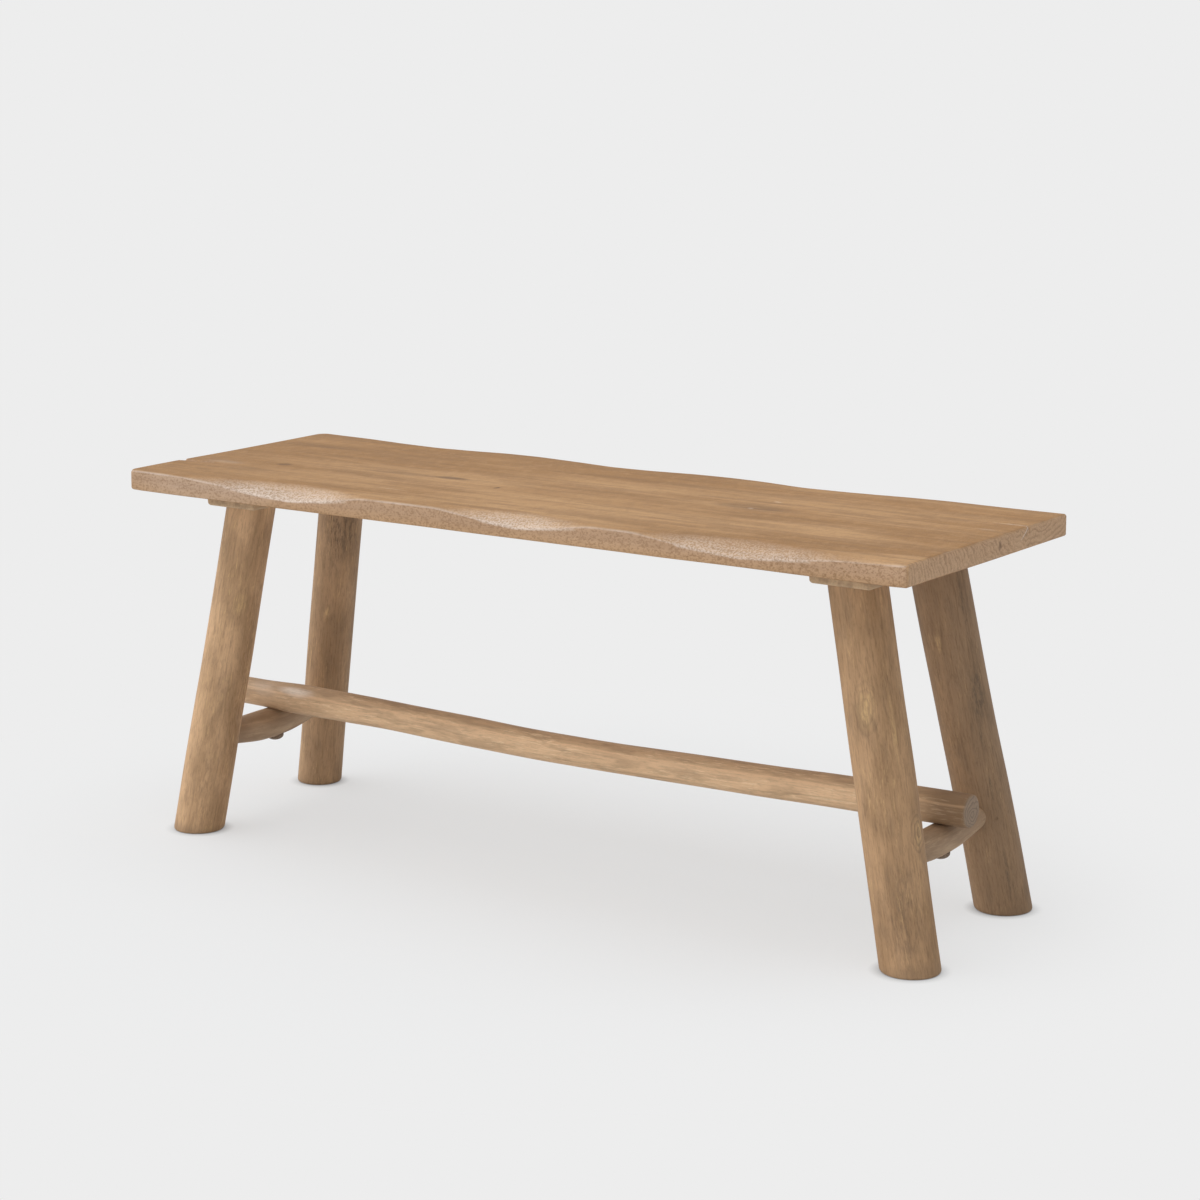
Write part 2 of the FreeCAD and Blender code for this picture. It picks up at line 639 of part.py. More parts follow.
def long_route(body):
    """The pole's axis: three straight runs with wide, tangent bends between them."""
    sketch = new_sketch(body, "XZ_Plane", "long_route")
    left_height = long_axis_height("left")
    corners = [(f"-{long_reach('left')}", left_height)]
    for place_share, drop_share in LONG_BEND_SHARES:
        place = f"{-place_share} * {long_reach('left')}"
        corners.append((place, f"{left_height} - {drop_share} * sizes.long_sag"))
    corners.append((long_reach("right"), long_axis_height("right")))
    spots = [spot(*corner) for corner in corners]
    radius = value("sizes.long_bend_radius")
    starts = spots[:1]
    stops = []
    bends = []
    for before, corner, after in zip(spots, spots[1:], spots[2:]):
        back = (before - corner).normalize()
        onward = (after - corner).normalize()
        half_angle = back.getAngle(onward) / 2
        tangent = radius / math.tan(half_angle)
        inward = (back + onward).normalize()
        nearest = corner + inward * (radius / math.sin(half_angle) - radius)
        stops.append(corner + back * tangent)
        starts.append(corner + onward * tangent)
        arc = sketch.addGeometry(Part.Arc(stops[-1], nearest, starts[-1]), False)
        upward = inward.y > 0
        bends.append((arc, START, END) if upward else (arc, END, START))
    stops.append(spots[-1])
    runs = [sketch.addGeometry(Part.LineSegment(*pair), False) for pair in zip(starts, stops)]
    for number, (bend, first, last) in enumerate(bends):
        sketch.addConstraint(Sketcher.Constraint("Tangent", runs[number], END, bend, first))
        sketch.addConstraint(Sketcher.Constraint("Tangent", bend, last, runs[number + 1], START))
        width = sketch.addConstraint(Sketcher.Constraint("Radius", bend, radius))
        sketch.renameConstraint(width, f"bend_{number}")
        sketch.setExpression(f"Constraints.bend_{number}", "sizes.long_bend_radius")
        corner = sketch.addGeometry(Part.Point(spots[number + 1]), True)
        drive_point(sketch, f"corner_{number}", (corner, START), *corners[number + 1])
        for run in runs[number:number + 2]:
            sketch.addConstraint(Sketcher.Constraint("PointOnObject", corner, START, run))
    drive_point(sketch, "left_end", (runs[0], START), *corners[0])
    drive_point(sketch, "right_end", (runs[-1], END), *corners[-1])
    return sketch


def long_pole():
    body = new_body("long_stretcher")
    set_down(body, "0", "sizes.long_y", "0")
    route = long_route(body)
    start = {"along": f"-{long_reach('left')}", "up": long_axis_height("left")}
    section = new_sketch(body, "YZ_Plane", "long_section", **start)
    add_circle(section, "pole", "sizes.long_diameter")
    doc.recompute()
    pole = body.newObject("PartDesign::AdditivePipe", "long_pipe")
    pole.Profile = section
    pole.Spine = route
    doc.recompute()
    middle = value("sizes.long_diameter") / 2
    rims = [f"Edge{i}" for i, e in enumerate(pole.Shape.Edges, start=1) if e.BoundBox.XLength < middle]
    bevel = body.newObject("PartDesign::Chamfer", "long_bevel")
    bevel.Base = (pole, rims)
    bind(bevel, Size="sizes.pole_end_bevel")
    doc.recompute()
    for name in SIDES:
        crossing = pole_crossing_x(name)
        bed_height = f"sizes.{name}_bed_height"
        bed = new_sketch(body, "XY_Plane", f"long_{name}_bed", along=bed_height)
        half_bed = f"(sizes.{name}_cross_diameter / 2 + sizes.bed_play)"
        bed_sides = (f"{crossing} - {half_bed}", f"{crossing} + {half_bed}")
        add_rectangle(bed, "bed", *bed_sides, "-sizes.long_diameter", "sizes.long_diameter")
        pocket(body, bed, "sizes.overrun")
        pilot = new_sketch(body, "XY_Plane", f"long_{name}_pilot", along=bed_height)
        add_circle(pilot, "pilot", "sizes.pole_screw_diameter + sizes.screw_play", crossing)
        pocket(body, pilot, "sizes.pole_screw_bite + sizes.hole_end_room", backward=True)
    keep(body, "long_stretcher")


# Screws
def screw(label, kind, length):
    """A pointed screw with a domed head: it points up, and the head hangs below zero."""
    head = f"sizes.{kind}_head_diameter / 2"
    shank = f"sizes.{kind}_diameter / 2"
    crown = f"-sizes.{kind}_head_height"
    outline = []
    for number, (radius_share, height_share) in enumerate(HEAD_SHARES):
        outline.append((f"head_{number}", f"{radius_share} * {head}", f"{height_share} * {crown}"))
    outline += [("shank_root", shank, "0"), ("shank_end", shank, f"{length} - sizes.{kind}_point")]
    outline += [("tip", "0", length)]
    body = new_body(label)
    sketch = new_sketch(body, "XZ_Plane", f"{label}_outline")
    add_outline(sketch, outline)
    turning = body.newObject("PartDesign::Revolution", f"{label}_turning")
    turning.Profile = sketch
    turning.ReferenceAxis = (sketch, ["V_Axis"])
    doc.recompute()
    return body


def four_alike(label, first):
    """A group of four like pieces: the first one and its mirror images in X, in Y and in both."""
    across = doc.addObject("Part::Mirroring", f"{label}_across")
    across.Source = first
    across.Normal = FreeCAD.Vector(1, 0, 0)
    pair = doc.addObject("Part::Compound", f"{label}_pair")
    pair.Links = [first, across]
    behind = doc.addObject("Part::Mirroring", f"{label}_behind")
    behind.Source = pair
    behind.Normal = FreeCAD.Vector(0, 1, 0)
    group = doc.addObject("Part::Compound", f"{label}_group")
    group.Links = [pair, behind]
    keep(group, label)


def leg_lag_screws():
    grip = "(sizes.batten_thickness - sizes.leg_screw_recess - sizes.leg_screw_head_height)"
    first = screw("leg_lag_screw", "leg_screw", f"({grip} + sizes.leg_screw_bite)")
    place = f"vector({LEG_TOP['x']}; {LEG_TOP['y']}; {BATTEN_UNDERSIDE} + {grip})"
    bind(first, Placement=f"placement({place}; rotationx({HALF_TURN}))")
    four_alike("leg_lag_screws", first)


def seat_screws():
    length = "(sizes.batten_thickness + sizes.seat_screw_bite)"
    first = screw("seat_screw", "seat_screw", length)
    set_down(first, LEG_TOP["x"], SEAT_SCREW_Y, BATTEN_UNDERSIDE)
    four_alike("seat_screws", first)


def stretcher_screws():
    pair = []
    for name in SIDES:
        seat = screw_flat_height(name)
        length = f"(sizes.{name}_bed_height - {seat} + sizes.pole_screw_bite)"
        piece = screw(f"stretcher_screw_{name}", "pole_screw", length)
        set_down(piece, pole_crossing_x(name), "sizes.long_y", seat)
        pair.append(piece)
    group = doc.addObject("Part::Compound", "stretcher_screw_pair")
    group.Links = pair
    keep(group, "stretcher_screws")


seat_plank()
for name in SIDES:
    batten(name)
for end in ENDS:
    for name in SIDES:
        leg(end, name)
for name in SIDES:
    cross_pole(name)
long_pole()
leg_lag_screws()
seat_screws()
stretcher_screws()
doc.recompute()

for item in doc.Objects:
    if "Invalid" in item.State or "Error" in item.State:
        raise RuntimeError(f"{item.Label} is {item.State}")
for piece in subparts:
    if piece.Shape.isNull() or not piece.Shape.isValid():
        raise RuntimeError(f"{piece.Label} has no valid shape")

os.makedirs("parts", exist_ok=True)
for piece in subparts:
    piece.Shape.exportStep(f"parts/{piece.Label}.step")
    print(piece.Label, len(piece.Shape.Solids), round(piece.Shape.Volume))
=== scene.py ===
import functools
import json
import math

import bpy
import numpy as np
from mathutils import Matrix, Vector, noise


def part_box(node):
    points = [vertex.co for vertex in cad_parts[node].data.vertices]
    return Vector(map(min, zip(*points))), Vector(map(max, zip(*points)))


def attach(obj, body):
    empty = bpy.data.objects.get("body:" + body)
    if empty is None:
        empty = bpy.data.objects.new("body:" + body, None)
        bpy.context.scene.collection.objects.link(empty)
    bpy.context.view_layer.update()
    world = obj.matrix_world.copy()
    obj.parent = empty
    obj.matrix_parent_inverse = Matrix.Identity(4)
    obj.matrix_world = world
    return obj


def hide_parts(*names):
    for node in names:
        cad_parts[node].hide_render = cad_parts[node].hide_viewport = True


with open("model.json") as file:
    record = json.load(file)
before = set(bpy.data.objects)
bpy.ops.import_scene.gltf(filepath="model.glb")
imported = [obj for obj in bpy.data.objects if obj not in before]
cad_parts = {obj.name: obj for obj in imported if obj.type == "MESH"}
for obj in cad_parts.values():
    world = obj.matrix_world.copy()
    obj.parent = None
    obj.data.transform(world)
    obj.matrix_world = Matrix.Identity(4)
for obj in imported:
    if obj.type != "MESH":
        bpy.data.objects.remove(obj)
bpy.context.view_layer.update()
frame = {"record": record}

# Seat plank: one board of open-pored hardwood, planed flat on top. Both long edges are scooped by
# hand, so that the top rolls over into hollows. The wax has left a pale bloom in them, with a
# painted highlight on their slopes laid in along with it.
seat_low, seat_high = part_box("seat_plank")
seat_half_length = (seat_high.x - seat_low.x) / 2
seat_half_depth = (seat_high.y - seat_low.y) / 2
SEAT_END_ROUND = 0.0045
SEAT_UNDER_ROUND = 0.0025
SEAT_LIP_ROUND = 0.0008
# The rounding of the ends fades in over this many times its radius.
END_ROUND_RUN = 4
# Rounding of the four corners in plan, by whether they lie to the right and to the back.
SEAT_CORNER_ROUNDS = {
    (False, False): 0.005,
    (True, False): 0.005,
    (False, True): 0.028,
    (True, True): 0.007,
}
SEAT_UNEVEN = 0.0005
SEAT_WAVES = 9
UNEVEN_SEED = 7
EDGE_DROP = 0.0015
EDGE_REACH = 0.006
HOLLOW_DEPTH = 0.0135
HOLLOW_REACH = 0.026
HOLLOW_CURVE = 1.6
HOLLOW_EASE_SHARE = 0.018
CHECK_CURVE = 0.6
# How far below the top a point still counts as top, and how wide the pale line along the side and
# end edges is: rubbed wear with a painted highlight on their rounding.
TOP_SKIN = 0.0015
SIDE_CREST = 0.0022
END_CREST = 0.002
END_CREST_SHARE = 0.6
# Gain and curve of the hollows' pale bloom and of the painted highlight laid in with it.
BLOOM_AND_HIGHLIGHT_GAIN = 1.5
BLOOM_AND_HIGHLIGHT_CURVE = 0.7
# The plank's grid lines: their steps along and across it, the closer ones in from its ends and from
# its lips, and the shares of the way up.
SEAT_STEPS = (0.006, 0.009)
END_MARGINS = [0, .0005, .0012, .0022, .0034, .005, .008, .012]
LIP_MARGINS = [0, .0004, .001, .002, .0034, .005, .007, .0095, .0125, .016, .02, .0245, .029, .034]
SEAT_LEVELS = [0, .02, .05, .1, .25, .42, .6, .78, .92, .965, .985, 1]
# Places along the plank as shares of its length, each with its share of a full hollow.
FRONT_HOLLOW_SHARES = [
    (-0.50, 0), (-0.425, 0), (-0.356, 0.40), (-0.309, 0.80), (-0.263, 1.0), (-0.217, 0.66),
    (-0.165, 0.02), (-0.065, 0), (-0.018, 0.43), (0.042, 0.86), (0.088, 0.48), (0.132, 0),
    (0.186, 0), (0.239, 0.55), (0.309, 1.03), (0.369, 0.66), (0.426, 0.22), (0.50, 0.04),
]
BACK_HOLLOW_SHARES = [
    (-0.50, 0), (-0.425, 0.15), (-0.356, 0.50), (-0.309, 0.57), (-0.263, 0.35), (-0.217, 0.05),
    (-0.171, 0.02), (-0.111, 0.30), (-0.065, 0.57), (-0.018, 0.48), (0.042, 0.08), (0.088, 0),
    (0.129, 0.12), (0.189, 0.54), (0.239, 0.45), (0.309, 0.10), (0.369, 0), (0.50, 0),
]
# Drying checks at the two ends: the end they open at, their place across the plank, the width of
# the slope in front of and behind the deepest line, their depth and their length.
END_CHECKS = [
    {"end": -1, "y": -0.0855, "before": 0.013, "behind": 0.0022, "depth": 0.0036, "length": 0.062},
    {"end": 1, "y": 0.0885, "before": 0.0014, "behind": 0.0014, "depth": 0.007, "length": 0.074},
]
SEAT_TAN = (0.56, 0.328, 0.152)
SEAT_GOLD = (0.39, 0.205, 0.075)
SEAT_BROWN = (0.26, 0.138, 0.057)
SEAT_DARK = (0.12, 0.066, 0.034)
SEAT_PINK = (0.54, 0.36, 0.24)
SEAT_WARM = (0.52, 0.31, 0.155)
SEAT_SAWN = (0.61, 0.40, 0.25)
# Pale tone of wax bloom, flecks and worn lips, also used for painted highlights.
SEAT_BLOOM_AND_HIGHLIGHT = (0.81, 0.69, 0.60)
SEAT_BUMP = 0.0004
SPECULAR_LEVEL = 0.3
# Growth rings: the pith's place to the back and its height, the gap between them and their sway.
SEAT_PITH = (0.11, seat_high.z + 0.10)
SEAT_RING_GAP = 0.0062
SEAT_RING_SWAY = 0.02
# How steeply, and from where, a face that turns to the end of the grain takes on the sawn tone.
SAWN_GAIN = 3
SAWN_START = 1.8
# Knots and dark streaks on the top: place along and across the plank, half length, half width and
# strength. The pale flecks and the lit lip of the right check follow in the same way.
MARK_DEPTH = 0.012
SEAT_DARK_MARKS = [
    (-0.1765, -0.0135, 0.028, 0.010, 0.65), (-0.0884, -0.0412, 0.004, 0.007, 0.95),
    (0.230, 0.0185, 0.058, 0.024, 0.5), (-0.4100, -0.0470, 0.012, 0.010, 0.6),
    (-0.475, 0.092, 0.08, 0.018, 0.3), (-0.243, -0.021, 0.07, 0.014, 0.2),
]
SEAT_PALE_MARKS = [
    (0.2346, 0.0631, 0.007, 0.003, 0.45), (0.2301, 0.0113, 0.005, 0.003, 0.45),
    (-0.187, -0.117, 0.03, 0.002, 0.25), (-0.484, -0.0748, 0.035, 0.014, 0.14),
    (0.525, 0.0865, 0.03, 0.0016, 0.6), (0.513, 0.0425, 0.016, 0.004, 0.2),
]
END_KNOT = (seat_half_length, 0.0196, 0.4453)
END_KNOT_SIZES = (1, 0.005, 0.007)
# The right check runs on down the end face on a slant: where it starts, its run to the front for
# each metre down, the height where it ends and how far up from there it fades in.
CRACK_TOP = (0.0885, 0.457)
CRACK_SLANT = 1.45
CRACK_END = 0.442
CRACK_FADE = 0.006
# Distances between which the crack's pale lip, worn and with a painted highlight, and the dark line
# behind it fade, and how far back that line lies.
CRACK_LIP = (0.0022, 0.0006)
CRACK_LINE = (0.0012, 0.0002)
CRACK_LINE_BACK = 0.0018


def smooth_run(stations, at, window):
    """Values at places along a run through (place, value) stations, eased over a window."""
    places, values = zip(*stations)
    steps = np.linspace(-window, window, 41)
    weights = np.hanning(len(steps) + 2)[1:-1]
    spread = np.interp(np.asarray(at)[..., None] + steps, places, values)
    return spread @ (weights / weights.sum())


def close_places(half, step, margins):
    """Places from -half to half a step apart, with closer ones at the margins in from each end."""
    inner = half - max(margins)
    count = max(2, round(2 * inner / step))
    middle = np.linspace(-inner, inner, count + 1)[1:-1]
    near = [half - margin for margin in margins]
    return sorted([-place for place in near] + list(middle) + near)


def soft_corner(point, low, high, radius):
    """Moves a point on a box onto the same box with rounded edges."""
    inner = Vector(min(max(p, a + radius), b - radius) for p, a, b in zip(point, low, high))
    offset = point - inner
    if offset.length > radius:
        offset *= radius / offset.length
    return inner + offset


def board(name, places, shape):
    """A closed mesh over the six sides of a box of grid lines; shape gives each point its place."""
    sizes = [len(axis_places) for axis_places in places]
    index = {}
    points = []

    def corner(*spot):
        if spot not in index:
            index[spot] = len(points)
            points.append(shape(*(axis[number] for axis, number in zip(places, spot))))
        return index[spot]

    faces = []
    for axis in range(3):
        first, second = (axis + 1) % 3, (axis + 2) % 3
        for side in (0, sizes[axis] - 1):
            for a in range(sizes[first] - 1):
                for b in range(sizes[second] - 1):
                    ring = []
                    for step_a, step_b in ((0, 0), (1, 0), (1, 1), (0, 1)):
                        spot = [0, 0, 0]
                        spot[axis], spot[first], spot[second] = side, a + step_a, b + step_b
                        ring.append(corner(*spot))
                    faces.append(ring if side else ring[::-1])
    mesh = bpy.data.meshes.new(name)
    mesh.from_pydata(points, [], faces)
    return mesh


def mark_grain(mesh, grains, along):
    """Stores each vertex's place in the wood's grain and whether its face is sawn across it."""
    places = mesh.attributes.new("grain", "FLOAT_VECTOR", "POINT")
    places.data.foreach_set("vector", [part for place in grains for part in place])
    across = [abs(normal.vector.dot(along)) for normal in mesh.vertex_normals]
    ends = [min(1, max(0, SAWN_GAIN * share - SAWN_START)) for share in across]
    mesh.attributes.new("end", "FLOAT", "POINT").data.foreach_set("value", ends)


def new_piece(name, mesh, node, sharp_degrees=38):
    """Puts a mesh in the scene as the piece that stands for a node of the bench."""
    mesh.validate()
    mesh.shade_smooth()
    mesh.set_sharp_from_angle(angle=math.radians(sharp_degrees))
    piece = bpy.data.objects.new(name, mesh)
    bpy.context.scene.collection.objects.link(piece)
    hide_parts(node)
    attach(piece, "root")


@functools.lru_cache(maxsize=None)
def hollow_at(x, at_front):
    """The share of a full hollow at a place along the front or the back edge of the plank."""
    stations = FRONT_HOLLOW_SHARES if at_front else BACK_HOLLOW_SHARES
    return float(smooth_run(stations, x / (2 * seat_half_length), HOLLOW_EASE_SHARE))


def edge_profile(x, y):
    """How far the top has dropped at a point, how far into the roll-over it lies, and its hollow."""
    share = hollow_at(x, y < 0)
    reach = EDGE_REACH + share * HOLLOW_REACH
    depth = max(0, 1 - (seat_half_depth - abs(y)) / reach)
    return (EDGE_DROP + share * HOLLOW_DEPTH) * depth ** HOLLOW_CURVE, depth, share


def check_drop(x, y):
    """How far the drying checks take the top down at a point."""
    drop = 0
    for check in END_CHECKS:
        run = max(0, 1 - (seat_half_length - check["end"] * x) / check["length"])
        across = y - check["y"]
        width = run * (check["before"] if across < 0 else check["behind"])
        if width > abs(across):
            drop += check["depth"] * run ** CHECK_CURVE * (1 - abs(across) / width)
    return drop


def plank_point(x, y, share):
    """The plank's surface at a place along and across it and a share of the way up."""
    top = seat_high.z - edge_profile(x, y)[0] - check_drop(x, y)
    point = Vector((x, y, seat_low.z + share * (top - seat_low.z)))
    low = Vector((-seat_half_length, -seat_half_depth, seat_low.z))
    high = Vector((seat_half_length, seat_half_depth, top))
    end_share = max(0, 1 - (seat_half_length - abs(x)) / (END_ROUND_RUN * SEAT_END_ROUND))
    side_round = SEAT_UNDER_ROUND + share * (SEAT_LIP_ROUND - SEAT_UNDER_ROUND)
    radius = side_round + end_share * (SEAT_END_ROUND - side_round)
    uneven = noise.noise_vector(point * SEAT_WAVES) * SEAT_UNEVEN
    rounded = soft_corner(point, low, high, radius)
    tall = Vector((0, 0, 1))
    return soft_corner(rounded, low - tall, high + tall, SEAT_CORNER_ROUNDS[x > 0, y > 0]) + uneven


# Without a seed the boards' unevenness would differ from run to run.
noise.seed_set(UNEVEN_SEED)
seat_x = close_places(seat_half_length, SEAT_STEPS[0], END_MARGINS)
seat_y = close_places(seat_half_depth, SEAT_STEPS[1], LIP_MARGINS)
for check in END_CHECKS:
    seat_y += [check["y"] - share * check["before"] for share in (1, 0.75, 0.5, 0.25)]
    seat_y += [check["y"] + share * check["behind"] for share in (0, 0.5, 1)]
seat_y.sort()
plank_mesh = board("seat_plank_wood", [seat_x, seat_y, SEAT_LEVELS], plank_point)
mark_grain(plank_mesh, [vertex.co for vertex in plank_mesh.vertices], Vector((1, 0, 0)))
# Per point: the hollows' pale bloom with a painted highlight on their slopes, and the pale crest
# line.
bloom_and_highlight = []
crest = []
for vertex in plank_mesh.vertices:
    x, y, z = vertex.co
    drop, depth, share = edge_profile(x, y)
    on_top = z > seat_high.z - drop - TOP_SKIN
    bloom_and_highlight.append(on_top * min(1, BLOOM_AND_HIGHLIGHT_GAIN * share) * depth ** BLOOM_AND_HIGHLIGHT_CURVE)
    from_end = seat_half_length - abs(x)
    from_side = seat_half_depth - abs(y)
    # The crest: rubbed wear and a painted highlight along the top's rounded edges.
    along_side = math.exp(-(from_side / SIDE_CREST) ** 2) * max(0, 1 - BLOOM_AND_HIGHLIGHT_GAIN * share)
    along_end = END_CREST_SHARE * math.exp(-(from_end / END_CREST) ** 2)
    crest.append(on_top * max(along_side, along_end))
for label, values in (("bloom_and_highlight", bloom_and_highlight), ("crest", crest)):
    plank_mesh.attributes.new(label, "FLOAT", "POINT").data.foreach_set("value", values)


class Tone:
    """A socket in a material's nodes. Sums on values add Math nodes."""

    def __init__(self, tree, socket=None):
        self.tree = tree
        self.socket = socket

    def node(self, kind, sockets, output=0, **settings):
        """A new node of a kind: its settings first, then the values or links of its sockets."""
        made = self.tree.nodes.new(f"ShaderNode{kind}")
        for name, setting in settings.items():
            setattr(made, name, setting)
        for name, given in sockets.items():
            socket = made.inputs[name]
            if isinstance(given, Tone):
                self.tree.links.new(given.socket, socket)
            elif socket.type == "RGBA":
                socket.default_value = (*given, 1)
            else:
                socket.default_value = given
        return Tone(self.tree, made.outputs[output])

    def math(self, operation, *given):
        return self.node("Math", dict(enumerate(given)), operation=operation)

    def __add__(self, other):
        return self.math("ADD", self, other)

    __radd__ = __add__

    def __sub__(self, other):
        return self.math("SUBTRACT", self, other)

    def __rsub__(self, other):
        return self.math("SUBTRACT", other, self)

    def __mul__(self, other):
        return self.math("MULTIPLY", self, other)

    __rmul__ = __mul__

    def __truediv__(self, other):
        return self.math("DIVIDE", self, other)

    def __pow__(self, other):
        return self.math("POWER", self, other)

    def __abs__(self):
        return self.math("ABSOLUTE", self)

    def parts(self):
        """The three parts of a vector."""
        first = self.node("SeparateXYZ", {0: self})
        return [Tone(self.tree, socket) for socket in first.socket.node.outputs]

    def vector(self, operation, other):
        return self.node("VectorMath", {0: self, 1: other}, operation=operation)

    def rise(self, low, high):
        """0 below low, 1 above high and a smooth step between."""
        return self.node("MapRange", {0: self, 1: low, 2: high}, interpolation_type="SMOOTHSTEP")

    def blend(self, low, high):
        """The colour that goes from low to high as this value goes from 0 to 1."""
        return self.node("Mix", {0: self, 6: low, 7: high}, output=2, data_type="RGBA")

    def noise(self, along, across, detail=2, roughness=0.5):
        """Noise on a grain vector, with features of these sizes along and across the grain."""
        scaled = self.vector("MULTIPLY", (1 / along, 1 / across, 1 / across))
        sockets = {"Vector": scaled, "Scale": 1, "Detail": detail, "Roughness": roughness}
        return self.node("TexNoise", sockets)

    def lines(self):
        """A line at each whole number that this value passes, soft on one side."""
        turn = self.math("FRACT", self)
        return turn.rise(0.35, 0.9) * turn.rise(1, 0.9)

    def reach(self, centre, half_sizes):
        """How far a place lies from a mark's centre: 1 at the mark's uneven rim."""
        offset = self.vector("SUBTRACT", centre).vector("DIVIDE", half_sizes)
        far = offset.node("VectorMath", {0: offset}, output=1, operation="LENGTH")
        return far + (offset.noise(1, 1) - 0.5) * 0.7

    def attribute(self, name, output=2):
        return self.node("Attribute", {}, output=output, attribute_name=name)


def new_finish(name, shift=(0, 0, 0)):
    """A new material, the place in its piece's grain, and that place shifted for the noise."""
    material = bpy.data.materials.new(name)
    material.use_nodes = True
    place = Tone(material.node_tree).attribute("grain", output=1)
    return material, place, place.vector("ADD", shift)


def growth_rings(grain, pith, spacing, wander):
    """Late wood from 0 to 1 in rings about a pith that runs along the grain at (y, z)."""
    y, z = grain.parts()[1:]
    sway = (grain.noise(0.35, 4 * spacing, detail=3) - 0.5) * wander
    return (((y - pith[0] + sway) ** 2 + (z - pith[1] + sway) ** 2) ** 0.5 / spacing).lines()


def coat(material, colour, roughness, height, bump_depth):
    """Links the finished colour, roughness and surface height to the material's shader."""
    links = material.node_tree.links
    shader = material.node_tree.nodes["Principled BSDF"]
    sockets = {"Strength": 1, "Distance": bump_depth, "Height": height}
    bump = height.node("Bump", sockets)
    links.new(colour.socket, shader.inputs["Base Color"])
    links.new(roughness.socket, shader.inputs["Roughness"])
    links.new(bump.socket, shader.inputs["Normal"])
    shader.inputs["Specular IOR Level"].default_value = SPECULAR_LEVEL


def seat_finish():
    material, place, grain = new_finish("seat_plank_wood")
    end = place.attribute("end")
    side = abs(place.node("TexCoord", {}, output=1).parts()[1]).rise(0.55, 0.9)
    x, y, z = place.parts()
    rings = growth_rings(grain, SEAT_PITH, SEAT_RING_GAP, SEAT_RING_SWAY)
    broad = grain.noise(0.30, 0.06, detail=3)
    band = grain.noise(0.20, 0.022, detail=4, roughness=0.65)
    streak = grain.noise(0.10, 0.009, detail=3, roughness=0.65)
    mottle = grain.noise(0.010, 0.016, detail=3, roughness=0.7)
    fibre = grain.noise(0.03, 0.0013, detail=3, roughness=0.6)
    grit = grain.noise(0.0024, 0.0018, detail=2, roughness=0.6)
    speck = grain.noise(0.0048, 0.0032, detail=2, roughness=0.6)
    colour = broad.rise(0.38, 0.6).blend(SEAT_GOLD, SEAT_TAN)
    # Painted highlight: lighter in the middle of the top towards the front. The top also turns darker
    # towards the back and the left end.
    colour = (abs(x - 0.05).rise(0.35, 0.05) * y.rise(0.1, -0.06) * 0.4).blend(colour, SEAT_TAN)
    colour = (y.rise(-0.02, 0.16) * 0.4).blend(colour, SEAT_GOLD)
    colour = (x.rise(-0.1, -0.5) * 0.6).blend(colour, SEAT_GOLD)
    colour = (band.rise(0.46, 0.64) * 0.42).blend(colour, SEAT_BROWN)
    colour = (streak.rise(0.47, 0.66) * 0.32).blend(colour, SEAT_BROWN)
    colour = (mottle.rise(0.48, 0.68) * 0.2).blend(colour, SEAT_BROWN)
    colour = (mottle.rise(0.48, 0.34) * 0.25).blend(colour, SEAT_TAN)
    # Painted shade along the back edge of the top, where it rolls over into the back hollows.
    colour = (y.rise(0.150, 0.184) * 0.4).blend(colour, SEAT_BROWN)
    colour = (side * 0.75).blend(colour, SEAT_PINK)
    colour = (side * z.rise(seat_low.z + 0.015, seat_low.z) * 0.55).blend(colour, SEAT_WARM)
    colour = (side * abs(x + 0.42).rise(0.14, 0.04) * 0.15).blend(colour, SEAT_BLOOM_AND_HIGHLIGHT)
    colour = (end * 0.85).blend(colour, SEAT_SAWN)
    colour = (rings * (0.13 + 0.32 * end * mottle.rise(0.32, 0.6))).blend(colour, SEAT_BROWN)
    torn = 0.7 + 0.3 * streak.rise(0.4, 0.6)
    for along, across, half_length, half_width, strength in SEAT_DARK_MARKS:
        reach = place.reach((along, across, seat_high.z), (half_length, half_width, MARK_DEPTH))
        colour = (reach.rise(1.1, 0.4) * strength * torn).blend(colour, SEAT_DARK)
    for along, across, half_length, half_width, strength in SEAT_PALE_MARKS:
        reach = place.reach((along, across, seat_high.z), (half_length, half_width, MARK_DEPTH))
        colour = (reach.rise(1, 0.3) * strength).blend(colour, SEAT_BLOOM_AND_HIGHLIGHT)
    knot = place.reach(END_KNOT, END_KNOT_SIZES).rise(1, 0.3) * end
    colour = (knot * 0.6).blend(colour, SEAT_DARK)
    # The right check down the end face: a worn pale lip with a painted highlight, a dark line behind
    # it.
    crack = y - CRACK_TOP[0] - (z - CRACK_TOP[1]) * CRACK_SLANT
    cracked = end * z.rise(CRACK_END, CRACK_END + CRACK_FADE)
    colour = (abs(crack).rise(*CRACK_LIP) * cracked * 0.55).blend(colour, SEAT_BLOOM_AND_HIGHLIGHT)
    dark_line = abs(crack - CRACK_LINE_BACK).rise(*CRACK_LINE)
    colour = (dark_line * cracked * 0.6).blend(colour, SEAT_DARK)
    colour = (fibre.rise(0.55, 0.75) * 0.3).blend(colour, SEAT_BROWN)
    pore = grit.rise(0.50, 0.62)
    colour = (pore * (0.14 + 0.3 * side + 0.15 * end)).blend(colour, SEAT_BROWN)
    colour = (speck.rise(0.55, 0.63) * x.rise(0.1, 0.42) * side * 0.5).blend(colour, SEAT_BROWN)
    # Pale wax bloom in the hollows' pores, with a painted highlight on their slopes.
    bloom_and_highlight = place.attribute("bloom_and_highlight") * (1 - 0.3 * x.rise(-0.15, 0.35))
    chalk = grit.rise(0.60, 0.42)
    colour = (bloom_and_highlight * (0.3 + 0.54 * chalk)).blend(colour, SEAT_BLOOM_AND_HIGHLIGHT)
